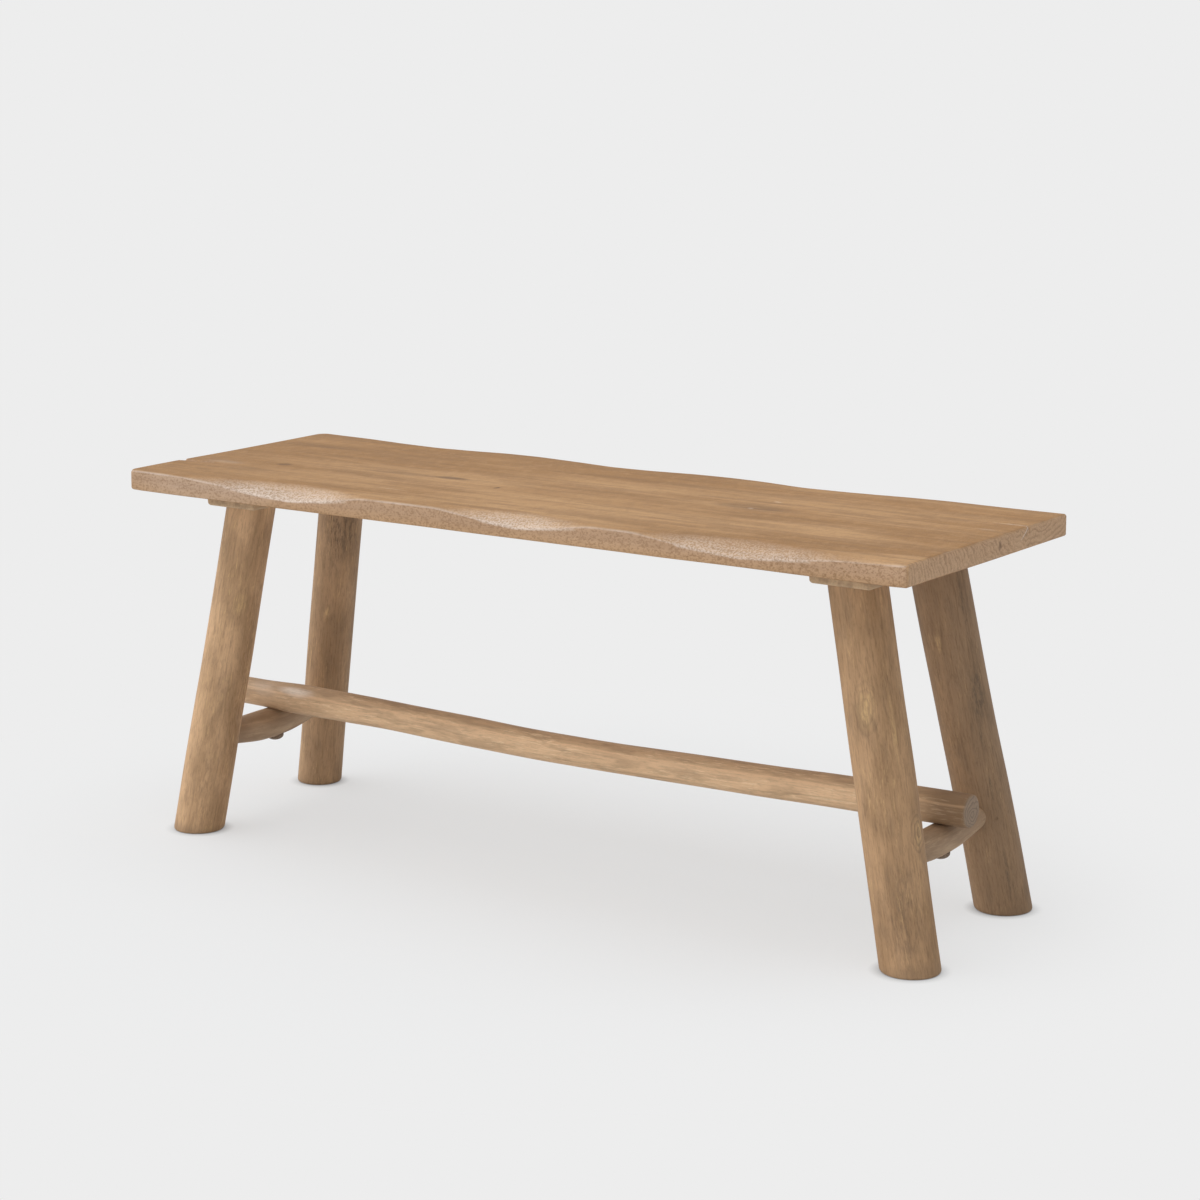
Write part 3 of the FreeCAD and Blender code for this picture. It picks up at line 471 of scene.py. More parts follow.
    # Pale crest line: rubbed wear with a painted highlight on the edges' rounding.
    crest = place.attribute("crest") * grain.noise(0.09, 0.09).rise(0.35, 0.6)
    colour = (crest * 0.4).blend(colour, SEAT_BLOOM_AND_HIGHLIGHT)
    roughness = 0.6 + 0.14 * fibre + 0.1 * bloom_and_highlight
    height = 0.5 * fibre + 0.25 * rings - 0.6 * pore
    coat(material, colour, roughness, height, SEAT_BUMP)
    return material


plank_mesh.materials.append(seat_finish())
new_piece("seat_plank_board", plank_mesh, "seat_plank")

# Battens: two short sawn boards across the underside of the seat. They take the screws, and their
# lower edges are eased.
BATTEN_ROUND = 0.004
BATTEN_UPPER_ROUND = 0.0005
BATTEN_UNEVEN = 0.0003
BATTEN_WAVES = 14
BATTEN_MARGINS = [0, .0005, .0012, .0024, .004]
BATTEN_STEPS = (0.008, 0.01, 0.004)
BATTEN_TAN = (0.57, 0.395, 0.24)
BATTEN_BROWN = (0.38, 0.256, 0.155)
BATTEN_BUMP = 0.0002
BATTEN_PITH = (0, 0.36)
BATTEN_RING_GAP = 0.004
BATTEN_RING_SWAY = 0.03


def batten_board(side):
    node = f"batten_{side}"
    low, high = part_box(node)
    middle = (low + high) / 2
    half = (high - low) / 2

    def batten_point(x, y, z):
        point = Vector((x, y, z))
        share = (z + half.z) / (2 * half.z)
        radius = BATTEN_ROUND + share * (BATTEN_UPPER_ROUND - BATTEN_ROUND)
        uneven = noise.noise_vector((point + middle) * BATTEN_WAVES) * BATTEN_UNEVEN * (1 - share)
        return soft_corner(point, -half, half, radius) + uneven + middle

    places = [close_places(size, step, BATTEN_MARGINS) for size, step in zip(half, BATTEN_STEPS)]
    mesh = board(f"{node}_wood", places, batten_point)
    grains = [(vertex.co.y, vertex.co.x, vertex.co.z) for vertex in mesh.vertices]
    mark_grain(mesh, grains, Vector((0, 1, 0)))
    mesh.materials.append(batten_finish(f"{node}_wood"))
    new_piece(f"{node}_board", mesh, node)


def batten_finish(name):
    material, place, grain = new_finish(name)
    end = place.attribute("end")
    band = grain.noise(0.16, 0.014, detail=4, roughness=0.6)
    fibre = grain.noise(0.03, 0.0012, detail=3, roughness=0.6)
    rings = growth_rings(grain, BATTEN_PITH, BATTEN_RING_GAP, BATTEN_RING_SWAY)
    colour = band.rise(0.42, 0.66).blend(BATTEN_TAN, BATTEN_BROWN)
    colour = (fibre.rise(0.5, 0.75) * 0.3).blend(colour, BATTEN_BROWN)
    colour = (rings * (0.1 + 0.3 * end)).blend(colour, BATTEN_BROWN)
    coat(material, colour, 0.64 + 0.15 * fibre, fibre, BATTEN_BUMP)
    return material


for side in ("left", "right"):
    batten_board(side)

# Legs: four peeled logs, each with its own girth and splay. They are sawn level at the floor and
# under the battens, the bowed poles' tenons run into them, and the rim of each foot is softened.
LEG_DIAMETERS = {
    "front_left": 0.0624,
    "back_left": 0.0578,
    "front_right": 0.0662,
    "back_right": 0.065,
}
LEG_MARGIN = 0.04
FOOT_ROUND = 0.0035
LEG_UNEVEN = 0.0007
LEG_WAVES = 7
LEG_ROUND_WAVES = 0.8
LEG_EASE_SHARE = 0.1
LEG_SIDES = 72
LEG_RINGS = 90
# Heights of the rings round the softened rim of the foot, and of the first ring above them.
FOOT_HEIGHTS = [0, .0002, .0006, .0013, .0022, .0035]
LEG_FIRST_RING = 0.008
# Each log takes its unevenness and its grain from another part of the noise, this far apart.
DRAW_STEP = 10
LEG_GRAIN_STEP = 1.7
LEG_BUMP = 0.0003
LEG_CONTOURS = 12
FIGURE_RINGS = 3
LEG_TAN = (0.66, 0.418, 0.236)
LEG_BROWN = (0.44, 0.272, 0.146)
LEG_GREY = (0.25, 0.16, 0.095)
LEG_PALE = (0.68, 0.45, 0.22)
LEG_UMBER = (0.33, 0.188, 0.088)
LEG_HEART = (0.10, 0.058, 0.033)
# Dark stains and streaks, also used for painted shade at the back left leg's top.
LEG_STAIN_AND_SHADE = (0.115, 0.085, 0.06)
# How far the wood of each leg leans to a darker tone, and to which one. On the back legs this is
# partly painted shade under and behind the seat.
LEG_SHADES = {
    "front_left": (0, LEG_GREY),
    "back_left": (0.36, LEG_GREY),
    "front_right": (0.42, LEG_UMBER),
    "back_right": (0.74, LEG_GREY),
}
# The girth of each log as a share of its diameter, by the share of the way up from its foot.
LEG_GIRTH_SHARES = {
    "front_left": [(0, 0.993), (0.2, 1.006), (0.37, 0.982), (0.7, 0.962), (1, 0.953)],
    "back_left": [(0, 1), (0.12, 0.985), (0.3, 0.99), (0.6, 0.98), (1, 0.985)],
    "front_right": [(0, 1), (0.1, 0.992), (0.4, 1.012), (0.55, 1.01), (0.78, 0.977), (1, 0.977)],
    "back_right": [(0, 1.005), (0.45, 0.985), (1, 1)],
}
# How far each log strays to the right of its straight line, by the same share of the way up.
LEG_STRAYS = {
    "front_left": [(0, 0.0008), (0.4, 0.0008), (0.5, 0.0013), (0.7, 0.0004), (1, -0.0005)],
    "back_left": [(0, 0.001), (0.2, 0.0001), (0.5, -0.0013), (0.72, -0.0018), (1, -0.0019)],
    "front_right": [(0, 0.0016), (0.25, 0.0012), (0.5, 0.0014), (0.7, -0.0001), (1, -0.0002)],
    "back_right": [(0, 0.0002), (0.2, 0.0012), (0.37, 0.0003), (0.5, -0.0012), (0.77, -0.0026),
                   (1, -0.0022)],
}
# Knots and pale figures of each leg, and a few marks of painted light and shade: the place up the
# log, to the back and to the left of its middle, half the length, half the width, the colour of the
# heart and the strength of its rings.
LEG_FIGURES = {
    "front_left": [
        (0.298, -0.0206, -0.0234, 0.020, 0.011, LEG_PALE, 0.06),
        (0.1035, -0.029, -0.0114, 0.004, 0.0025, LEG_GREY, 0),
        (0.055, -0.025, -0.019, 0.09, 0.015, LEG_TAN, 0),
        # Painted shade down the side of the front left leg that faces away from the light.
        (0.200, 0.001, -0.031, 0.28, 0.022, LEG_UMBER, 0),
    ],
    "back_left": [
        (0.2515, -0.0271, -0.010, 0.014, 0.006, LEG_PALE, 0.05),
        # Painted shade under the seat at the top of the back left leg.
        (0.375, -0.0221, -0.0186, 0.085, 0.034, LEG_STAIN_AND_SHADE, 0),
    ],
    "front_right": [
        (0.1474, -0.0018, -0.033, 0.021, 0.012, LEG_PALE, 0.38),
        (0.1474, -0.0018, -0.033, 0.006, 0.0035, LEG_HEART, 0),
        (0.2881, -0.0318, -0.0092, 0.030, 0.016, LEG_PALE, 0.16),
        (0.2850, -0.0322, -0.0075, 0.016, 0.007, LEG_PALE, 0),
        (0.255, -0.016, -0.029, 0.062, 0.004, LEG_PALE, 0),
        (0.060, -0.026, -0.020, 0.100, 0.026, LEG_GREY, 0),
    ],
    "back_right": [
        # Painted highlight: a lighter strip down the back right leg's left rim, which faces the
        # light.
        (0.200, -0.030, 0.0115, 0.28, 0.021, LEG_BROWN, 0),
        (0.262, -0.0150, -0.0288, 0.046, 0.014, LEG_STAIN_AND_SHADE, 0),
        (0.3275, -0.0325, 0.0003, 0.016, 0.0045, LEG_PALE, 0),
        (0.1158, -0.0209, -0.0249, 0.0035, 0.003, LEG_HEART, 0),
        (0.235, -0.0205, -0.0252, 0.060, 0.0035, LEG_STAIN_AND_SHADE, 0),
        (0.150, -0.0205, -0.0252, 0.024, 0.0025, LEG_STAIN_AND_SHADE, 0),
        (0.055, -0.0200, -0.0256, 0.045, 0.0035, LEG_STAIN_AND_SHADE, 0),
        (0.370, -0.0130, -0.0298, 0.050, 0.006, LEG_STAIN_AND_SHADE, 0),
    ],
}


def tubes(name, runs):
    """A mesh of closed tubes, each through rings of as many points with its end rings capped."""
    points = []
    faces = []
    for rings in runs:
        count = len(rings[0])
        first = len(points)
        for number in range(len(rings) - 1):
            near = first + number * count
            for a in range(count):
                b = (a + 1) % count
                faces.append((near + a, near + b, near + count + b, near + count + a))
        points += [point for ring in rings for point in ring]
        faces.append(tuple(reversed(range(first, first + count))))
        faces.append(tuple(range(len(points) - count, len(points))))
    mesh = bpy.data.meshes.new(name)
    mesh.from_pydata(points, [], faces)
    return mesh


def leg_frame(corner):
    """A frame at the foot with X up the log and Y to the back of the bench, and the log's top."""
    end, side = corner.split("_")
    batten_low, batten_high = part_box(f"batten_{side}")
    mounts = {mount["name"]: mount["pos_m"] for mount in frame["record"]["mounts"]}
    foot = Vector(mounts[f"foot_{corner}"])
    top_y = batten_low.y + LEG_MARGIN if end == "front" else batten_high.y - LEG_MARGIN
    top = Vector(((batten_low.x + batten_high.x) / 2, top_y, batten_low.z))
    along = (top - foot).normalized()
    back = Vector((0, 1, 0))
    back = (back - along * back.dot(along)).normalized()
    turn = Matrix((along, back, along.cross(back))).transposed()
    return Matrix.Translation(foot) @ turn.to_4x4(), top


def log_leg(corner, number):
    node = f"leg_{corner}"
    matrix, top = leg_frame(corner)
    foot = matrix.translation
    along, back, left = (matrix.col[axis].xyz for axis in range(3))
    heights = FOOT_HEIGHTS + list(np.linspace(LEG_FIRST_RING, top.z, LEG_RINGS))
    rings = []
    for height in heights:
        stray = float(smooth_run(LEG_STRAYS[corner], height / top.z, LEG_EASE_SHARE))
        middle = foot.lerp(top, height / top.z) + Vector((stray, 0, 0))
        rim = max(0, FOOT_ROUND - height)
        inset = FOOT_ROUND - math.sqrt(FOOT_ROUND ** 2 - rim ** 2)
        girth = float(smooth_run(LEG_GIRTH_SHARES[corner], height / top.z, LEG_EASE_SHARE))
        radius = girth * LEG_DIAMETERS[corner] / 2 - inset
        ring = []
        for step in range(LEG_SIDES):
            angle = 2 * math.pi * step / LEG_SIDES
            outward = math.cos(angle) * back + math.sin(angle) * left
            spot = Vector((height * LEG_WAVES, 0, DRAW_STEP * number)) + outward * LEG_ROUND_WAVES
            offset = outward * (radius + noise.noise(spot) * LEG_UNEVEN)
            ring.append(middle + offset - along * (offset.z / along.z))
        rings.append(ring)
    mesh = tubes(f"{node}_wood", [rings])
    inverse = matrix.inverted()
    mark_grain(mesh, [inverse @ vertex.co for vertex in mesh.vertices], along)
    mesh.materials.append(leg_finish(corner, number))
    new_piece(f"{node}_log", mesh, node)


def leg_finish(corner, number):
    material, place, grain = new_finish(f"leg_{corner}_wood", (LEG_GRAIN_STEP * number, 0, 0))
    shade, dark_tone = LEG_SHADES[corner]
    broad = grain.noise(0.10, 0.03, detail=3)
    contour = (grain.noise(0.20, 0.03, detail=2, roughness=0.4) * LEG_CONTOURS).lines()
    streak = grain.noise(0.11, 0.005, detail=3, roughness=0.6)
    mottle = grain.noise(0.045, 0.014, detail=3, roughness=0.6)
    fibre = grain.noise(0.030, 0.0022, detail=3, roughness=0.65)
    dash = grain.noise(0.008, 0.0017, detail=2, roughness=0.6)
    colour = broad.rise(0.35, 0.65).blend(LEG_BROWN, LEG_TAN)
    # The leg's darker tone, on the back legs partly painted shade under and behind the seat.
    colour = colour.node("Mix", {0: shade, 6: colour, 7: dark_tone}, output=2, data_type="RGBA")
    colour = (streak.rise(0.5, 0.7) * 0.3).blend(colour, LEG_BROWN)
    colour = (mottle.rise(0.5, 0.72) * 0.25).blend(colour, LEG_STAIN_AND_SHADE)
    colour = (contour * 0.1).blend(colour, LEG_GREY)
    torn = grain.noise(0.012, 0.003, detail=3, roughness=0.7).rise(0.42, 0.62)
    for along, back, left, half_length, half_width, heart, ring_strength in LEG_FIGURES[corner]:
        reach = place.reach((along, back, left), (half_length, half_width, half_width))
        colour = (reach.rise(1, 0.2) * (0.2 + 0.5 * torn)).blend(colour, heart)
        rings = (reach * FIGURE_RINGS).lines() * reach.rise(1.5, 0.7)
        colour = (rings * ring_strength).blend(colour, LEG_STAIN_AND_SHADE)
    fleck = grain.noise(0.016, 0.0020, detail=3, roughness=0.7).rise(0.55, 0.66)
    patch = grain.noise(0.07, 0.018, detail=2).rise(0.43, 0.6)
    colour = (fleck * patch * (0.6 - 0.5 * shade)).blend(colour, LEG_PALE)
    colour = (fibre.rise(0.47, 0.66) * 0.23).blend(colour, LEG_HEART)
    colour = (dash.rise(0.52, 0.66) * 0.19).blend(colour, LEG_HEART)
    low = place.parts()[0].rise(0.014, 0.001)
    colour = (low * 0.4).blend(colour, LEG_GREY)
    coat(material, colour, 0.6 + 0.15 * fibre, fibre * 0.7 - dash * 0.3, LEG_BUMP)
    return material


for number, corner in enumerate(LEG_DIAMETERS):
    log_leg(corner, number)

# Bowed poles: one between the front and the back leg at each end. They thicken and sink towards
# the middle. Their ends are round tenons glued into the legs, and a flat on top carries the long
# pole.
CROSS_HEIGHT = 0.116
TENON_DIAMETER = 0.029
TENON_DEPTH = 0.024
POLE_SIDES = 56
CROSS_DIAMETERS = {"left": 0.038, "right": 0.036}
BED_HEIGHTS = {"left": 0.128, "right": 0.1295}
BED_BITE = 0.0015
BED_HALF = 0.0195
SCREW_FLAT_RADIUS = 0.0125
SCREW_FLAT_DEPTH = 0.0025
LONG_Y = 0.005
SHOULDER_GAP = 0.001
SHOULDER_SHARE = 0.02
CROSS_EASE_SHARE = 0.2
CROSS_RINGS = 110
CROSS_UNEVEN = 0.0006
CROSS_WAVES = 14
CROSS_DRAW = 30
CROSS_GRAIN = 3.1
# From the front tenon to the back one: the share of the half length, of the sink and of the growth.
CROSS_SINK_SHARES = [
    (-1, 0), (-0.72, 0.42), (-0.38, 0.85), (0, 1), (0.38, 0.9), (0.72, 0.5), (1, 0),
]
CROSS_GROWTH_SHARES = [
    (-1, 0.1), (-0.72, 0.5), (-0.38, 0.9), (0, 1), (0.38, 0.88), (0.72, 0.52), (1, 0.1),
]
POLE_TAN = (0.53, 0.37, 0.237)
POLE_BROWN = (0.33, 0.213, 0.128)
POLE_GREY = (0.22, 0.155, 0.105)
POLE_DARK = (0.10, 0.068, 0.045)
POLE_PALE = (0.81, 0.54, 0.32)
POLE_UMBER = (0.24, 0.145, 0.075)
POLE_PAINTED_SHEEN = (0.88, 0.76, 0.65)
POLE_SAWN = (0.31, 0.225, 0.16)
POLE_FLECK = (0.93, 0.70, 0.45)
POLE_BUMP = 0.0003
POLE_PITH = (0.003, -0.002)
POLE_RING_GAP = 0.0046
POLE_RING_SWAY = 0.016
# Places along a pole between which its ends turn umber and brown and its flecks thin out; the umber
# at the right end is partly painted shade behind the front right leg. The bowed poles are too short
# to reach them.
UMBER_AND_SHADE_RUN = (0.44, 0.50)
BROWN_RUN = (-0.34, -0.48)
FLECK_RUN = (0.40, 0.47)
# Heights over a pole's middle between which its crown darkens with painted shade from the seat
# above, and its pale ridge comes and goes.
CROWN_SHADE_RISE = (0.0102, 0.0122)
RIDGE_RISE = (0.0072, 0.0092)
RIDGE_FALL = (0.0112, 0.0098)


def leg_at_cross(corner):
    """Where a leg's axis passes the height of the tenons."""
    leg = leg_frame(corner)[0]
    along = leg.col[0].xyz
    return leg.translation + along * (CROSS_HEIGHT / along.z)


def cross_frame(side):
    """A frame midway between the two legs with X to the back along the bowed pole and Z up."""
    front = leg_at_cross(f"front_{side}")
    back = leg_at_cross(f"back_{side}")
    along = (back - front).normalized()
    up = Vector((0, 0, 1))
    turn = Matrix((along, up.cross(along), up)).transposed()
    return Matrix.Translation((front + back) / 2) @ turn.to_4x4(), (back - front).length / 2


def cross_pole(side, number):
    node = f"cross_stretcher_{side}"
    matrix, half = cross_frame(side)
    middle_height = BED_HEIGHTS[side] + BED_BITE - CROSS_DIAMETERS[side] / 2
    skins = [half - LEG_DIAMETERS[f"{end}_{side}"] / 2 for end in ("front", "back")]
    ends = [skin + TENON_DEPTH for skin in skins]
    shoulders = [skin - SHOULDER_GAP for skin in skins]
    bed = BED_HEIGHTS[side] - CROSS_HEIGHT
    screw_flat = bed + BED_BITE - CROSS_DIAMETERS[side] + SCREW_FLAT_DEPTH
    crossing = (LONG_Y - matrix.translation.y) / matrix.col[0].y
    rings = []
    grains = []
    for place in np.linspace(-ends[0], ends[1], CROSS_RINGS):
        share = place / (shoulders[0] if place < 0 else shoulders[1])
        sink = float(smooth_run(CROSS_SINK_SHARES, np.clip(share, -1, 1), CROSS_EASE_SHARE))
        growth = float(smooth_run(CROSS_GROWTH_SHARES, np.clip(share, -1, 1), CROSS_EASE_SHARE))
        tenon = min(1, max(0, (abs(share) - 1) / SHOULDER_SHARE))
        diameter = TENON_DIAMETER + growth * (1 - tenon) * (CROSS_DIAMETERS[side] - TENON_DIAMETER)
        height = sink * (middle_height - CROSS_HEIGHT)
        ring = []
        for step in range(POLE_SIDES):
            angle = 2 * math.pi * step / POLE_SIDES
            outward = Vector((0, math.cos(angle), math.sin(angle)))
            spot = Vector((place * CROSS_WAVES, 0, CROSS_DRAW + DRAW_STEP * number)) + outward
            offset = outward * (diameter / 2 + noise.noise(spot) * CROSS_UNEVEN)
            if abs(place - crossing) < BED_HALF:
                offset.z = min(offset.z, bed - height)
            if offset.z < 0 and math.hypot(place - crossing, offset.y) < SCREW_FLAT_RADIUS:
                offset.z = max(offset.z, screw_flat - height)
            grains.append((place, offset.y, offset.z))
            ring.append(matrix @ (Vector((place, 0, height)) + offset))
        rings.append(ring)
    mesh = tubes(f"{node}_wood", [rings])
    mark_grain(mesh, grains, matrix.col[0].xyz)
    mesh.materials.append(pole_finish(f"{node}_wood", (CROSS_GRAIN + number, 0, 0), paleness=0))
    new_piece(f"{node}_pole", mesh, node)


def pole_finish(name, shift, paleness, painted_sheens=()):
    material, place, grain = new_finish(name, shift)
    end = place.attribute("end")
    broad = grain.noise(0.12, 0.03, detail=3)
    streak = grain.noise(0.15, 0.006, detail=3, roughness=0.6)
    fibre = grain.noise(0.025, 0.0015, detail=3, roughness=0.65)
    dash = grain.noise(0.007, 0.0014, detail=2, roughness=0.6)
    rings = growth_rings(place, POLE_PITH, POLE_RING_GAP, POLE_RING_SWAY)
    x, _, z = place.parts()
    colour = broad.rise(0.35, 0.65).blend(POLE_BROWN, POLE_TAN)
    colour = colour.node("Mix", {0: paleness, 6: colour, 7: POLE_PALE}, output=2, data_type="RGBA")
    # The right end turns umber: the wood's tone with painted shade behind the front right leg.
    colour = (x.rise(*UMBER_AND_SHADE_RUN) * 0.95).blend(colour, POLE_UMBER)
    colour = (x.rise(*BROWN_RUN) * 0.4).blend(colour, POLE_BROWN)
    colour = (streak.rise(0.5, 0.7) * 0.4).blend(colour, POLE_BROWN)
    mottle = grain.noise(0.055, 0.013, detail=3, roughness=0.6)
    colour = (mottle.rise(0.46, 0.64) * 0.4).blend(colour, POLE_BROWN)
    # The crown darkens with painted shade from the seat above; a pale ridge runs along below it.
    height = z + (grain.noise(0.09, 0.05) - 0.5) * 0.006
    colour = (height.rise(*CROWN_SHADE_RISE) * 0.3).blend(colour, POLE_BROWN)
    ridge = height.rise(*RIDGE_RISE) * height.rise(*RIDGE_FALL)
    colour = (ridge * (0.1 + 0.3 * paleness)).blend(colour, POLE_PALE)
    # Painted sheens: highlights laid on as pale colour.
    for centre, half_sizes, strength in painted_sheens:
        reach = place.reach(centre, half_sizes)
        colour = (reach.rise(1.2, 0.1) * strength).blend(colour, POLE_PAINTED_SHEEN)
    fleck = grain.noise(0.024, 0.0016, detail=3, roughness=0.7).rise(0.53, 0.63)
    patch = grain.noise(0.08, 0.012, detail=2).rise(0.42, 0.58)
    patch = patch * (1 - 0.55 * x.rise(*FLECK_RUN))
    colour = (fleck * patch * (0.12 + 0.5 * paleness)).blend(colour, POLE_FLECK)
    colour = (fibre.rise(0.5, 0.72) * 0.25).blend(colour, POLE_GREY)
    colour = (dash.rise(0.52, 0.68) * 0.16).blend(colour, POLE_GREY)
    colour = (end * 0.8).blend(colour, POLE_SAWN)
    colour = (end * rings * 0.45).blend(colour, POLE_DARK)
    coat(material, colour, 0.58 + 0.15 * fibre, fibre * 0.7 - dash * 0.3, POLE_BUMP)
    return material


for number, side in enumerate(CROSS_DIAMETERS):
    cross_pole(side, number)

# Long pole: a peeled pole that lies on the two bowed poles and runs past them. It sags a little,
# swells at a knot near its left end, and its sawn ends are bevelled.
LONG_PALENESS = 0.8
LONG_RINGS = 240
LONG_UNEVEN = 0.0008
LONG_WAVES = 9
LONG_DRAW = 70
LONG_GRAIN = 5.3
LONG_AXIS_EASE = 0.06
LONG_RADIUS_EASE = 0.03
# Painted sheens, highlights where the knot's swelling catches the light: the place, the half sizes
# and the strength of each.
LONG_PAINTED_SHEENS = [
    ((-0.432, -0.013, 0.0125), (0.032, 0.009, 0.0065), 0.9),
    ((-0.485, -0.010, 0.010), (0.030, 0.012, 0.010), 0.3),
]
long_low, long_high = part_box("long_stretcher")
# Places along the bench in metres with the height of the pole's axis, and with its radius.
LONG_AXIS = [
    (-0.60, 0.145), (-0.43, 0.1447), (-0.298, 0.1444), (-0.173, 0.1412), (-0.05, 0.1390),
    (0.075, 0.1398), (0.215, 0.1426), (0.35, 0.1460), (0.486, 0.1486), (0.60, 0.1492),
]
LONG_RADII = [
    (-0.60, 0.0168), (-0.50, 0.0171), (-0.435, 0.0196), (-0.385, 0.0186), (-0.20, 0.0182),
    (0.0, 0.0179), (0.20, 0.0185), (0.35, 0.0194), (0.50, 0.0194), (0.60, 0.0186),
]
# The sawn ends, from the middle of the end face outwards: the way in from the end and the share of
# the radius there.
LONG_END_SHARES = [
    (0, 0.2), (0, 0.5), (0, 0.8), (0, 0.89), (0.0005, 0.935), (0.0012, 0.97), (0.0022, 1),
]


def cross_middle(side):
    """Where the axis of the long pole passes over a bowed pole."""
    matrix = cross_frame(side)[0]
    along = matrix.col[0].xyz
    return matrix.translation + along * ((LONG_Y - matrix.translation.y) / along.y)


def long_pole():
    stations = [(long_low.x + step, share) for step, share in LONG_END_SHARES]
    stations += [(place, 1) for place in np.linspace(long_low.x, long_high.x, LONG_RINGS)[1:-1]]
    stations += [(long_high.x - step, share) for step, share in reversed(LONG_END_SHARES)]
    beds = [(cross_middle(side).x, BED_HEIGHTS[side]) for side in CROSS_DIAMETERS]
    rings = []
    grains = []
    for place, share in stations:
        height = float(smooth_run(LONG_AXIS, place, LONG_AXIS_EASE))
        radius = float(smooth_run(LONG_RADII, place, LONG_RADIUS_EASE)) * share
        ring = []
        for step in range(POLE_SIDES):
            angle = 2 * math.pi * step / POLE_SIDES
            outward = Vector((0, math.cos(angle), math.sin(angle)))
            spot = Vector((place * LONG_WAVES, 0, LONG_DRAW)) + outward
            offset = outward * (radius + noise.noise(spot) * LONG_UNEVEN * share)
            for crossing, bed in beds:
                if abs(place - crossing) < BED_HALF:
                    offset.z = max(offset.z, bed - height)
            grains.append((place, offset.y, offset.z))
            ring.append(Vector((place, LONG_Y, height)) + offset)
        rings.append(ring)
    mesh = tubes("long_stretcher_wood", [rings])
    mark_grain(mesh, grains, Vector((1, 0, 0)))
    finish = pole_finish("long_stretcher_wood", (LONG_GRAIN, 0, 0), LONG_PALENESS, LONG_PAINTED_SHEENS)
    mesh.materials.append(finish)
    new_piece("long_stretcher_pole", mesh, "long_stretcher")


long_pole()

# Screws: domed heads with a six-sided socket. Two browned ones hold the long pole from below the
# bowed poles, zinc plated ones hold the battens to the seat and, let in from above, to the legs.
SCREW_SIDES = 48
SOCKET_RADIUS_SHARE = 0.36
SOCKET_DEPTH_SHARE = 0.5
SOCKET_SIXTH = math.radians(60)
CROWN_SHARE = 1.15
SCREW_BUMP = 0.00005
LIP_SHARE = 0.22
SCREW_TIP = 0.0002
DOME_STEPS = 12
# Sizes of the three kinds: the head's diameter and height, the shank's diameter, the point's length.
POLE_SCREW = (0.022, 0.0075, 0.008, 0.008)
SEAT_SCREW = (0.012, 0.004, 0.0055, 0.006)
LEG_SCREW = (0.014, 0.005, 0.007, 0.009)
POLE_SCREW_BITE = 0.025
BROWNED_STEEL = (0.15, 0.10, 0.066)
BROWNED_WORN = (0.25, 0.175, 0.12)
ZINC = (0.58, 0.58, 0.56)
ZINC_DULL = (0.40, 0.40, 0.385)


def screw(seat, tip, head_diameter, head_height, shank_diameter, point_length):
    """Rings of a screw from its point to the floor of its socket; its head's underside is at seat."""
    along = (tip - seat).normalized()
    side = along.orthogonal().normalized()
    length = (tip - seat).length
    head = head_diameter / 2
    shank = shank_diameter / 2
    profile = [(SCREW_TIP, length), (shank, length - point_length), (shank, 0), (head, 0)]
    lip = LIP_SHARE * head_height
    socket = SOCKET_RADIUS_SHARE * head
    crown_angle = math.acos(CROWN_SHARE * SOCKET_RADIUS_SHARE)
    for step in range(DOME_STEPS + 1):
        angle = crown_angle * step / DOME_STEPS
        rise = math.sin(angle) / math.sin(crown_angle)
        profile.append((head * math.cos(angle), -lip - rise * (head_height - lip)))
    socket_rings = [(socket, -head_height), (socket, (SOCKET_DEPTH_SHARE - 1) * head_height)]
    rings = []
    for number, (radius, place) in enumerate(profile + socket_rings):
        ring = []
        for step in range(SCREW_SIDES):
            angle = 2 * math.pi * step / SCREW_SIDES
            flat = math.cos(SOCKET_SIXTH / 2) / math.cos(angle % SOCKET_SIXTH - SOCKET_SIXTH / 2)
            far = radius * (flat if number >= len(profile) else 1)
            outward = math.cos(angle) * side + math.sin(angle) * along.cross(side)
            ring.append(seat + along * place + outward * far)
        rings.append(ring[::-1])
    return rings


def screw_finish(name, dull, bright, metallic):
    material = bpy.data.materials.new(name)
    material.use_nodes = True
    place = Tone(material.node_tree).node("TexCoord", {}, output=3)
    wear = place.noise(0.002, 0.002, detail=3, roughness=0.6)
    scratch = place.noise(0.004, 0.0006, detail=2)
    colour = wear.rise(0.4, 0.65).blend(dull, bright)
    coat(material, colour, 0.32 + 0.25 * wear, scratch, SCREW_BUMP)
    material.node_tree.nodes["Principled BSDF"].inputs["Metallic"].default_value = metallic
    return material


def screws(node, runs, finish):
    mesh = tubes(f"{node}_steel", runs)
    mesh.materials.append(finish)
    new_piece(f"{node}_domed", mesh, node, sharp_degrees=30)


pole_runs = []
for side in CROSS_DIAMETERS:
    crossing = cross_middle(side)
    flat = BED_HEIGHTS[side] + BED_BITE - CROSS_DIAMETERS[side] + SCREW_FLAT_DEPTH
    seat = Vector((crossing.x, LONG_Y, flat))
    tip = Vector((crossing.x, LONG_Y, BED_HEIGHTS[side] + POLE_SCREW_BITE))
    pole_runs.append(screw(seat, tip, *POLE_SCREW))
browned = screw_finish("browned_steel", BROWNED_STEEL, BROWNED_WORN, metallic=0.4)
screws("stretcher_screws", pole_runs, browned)

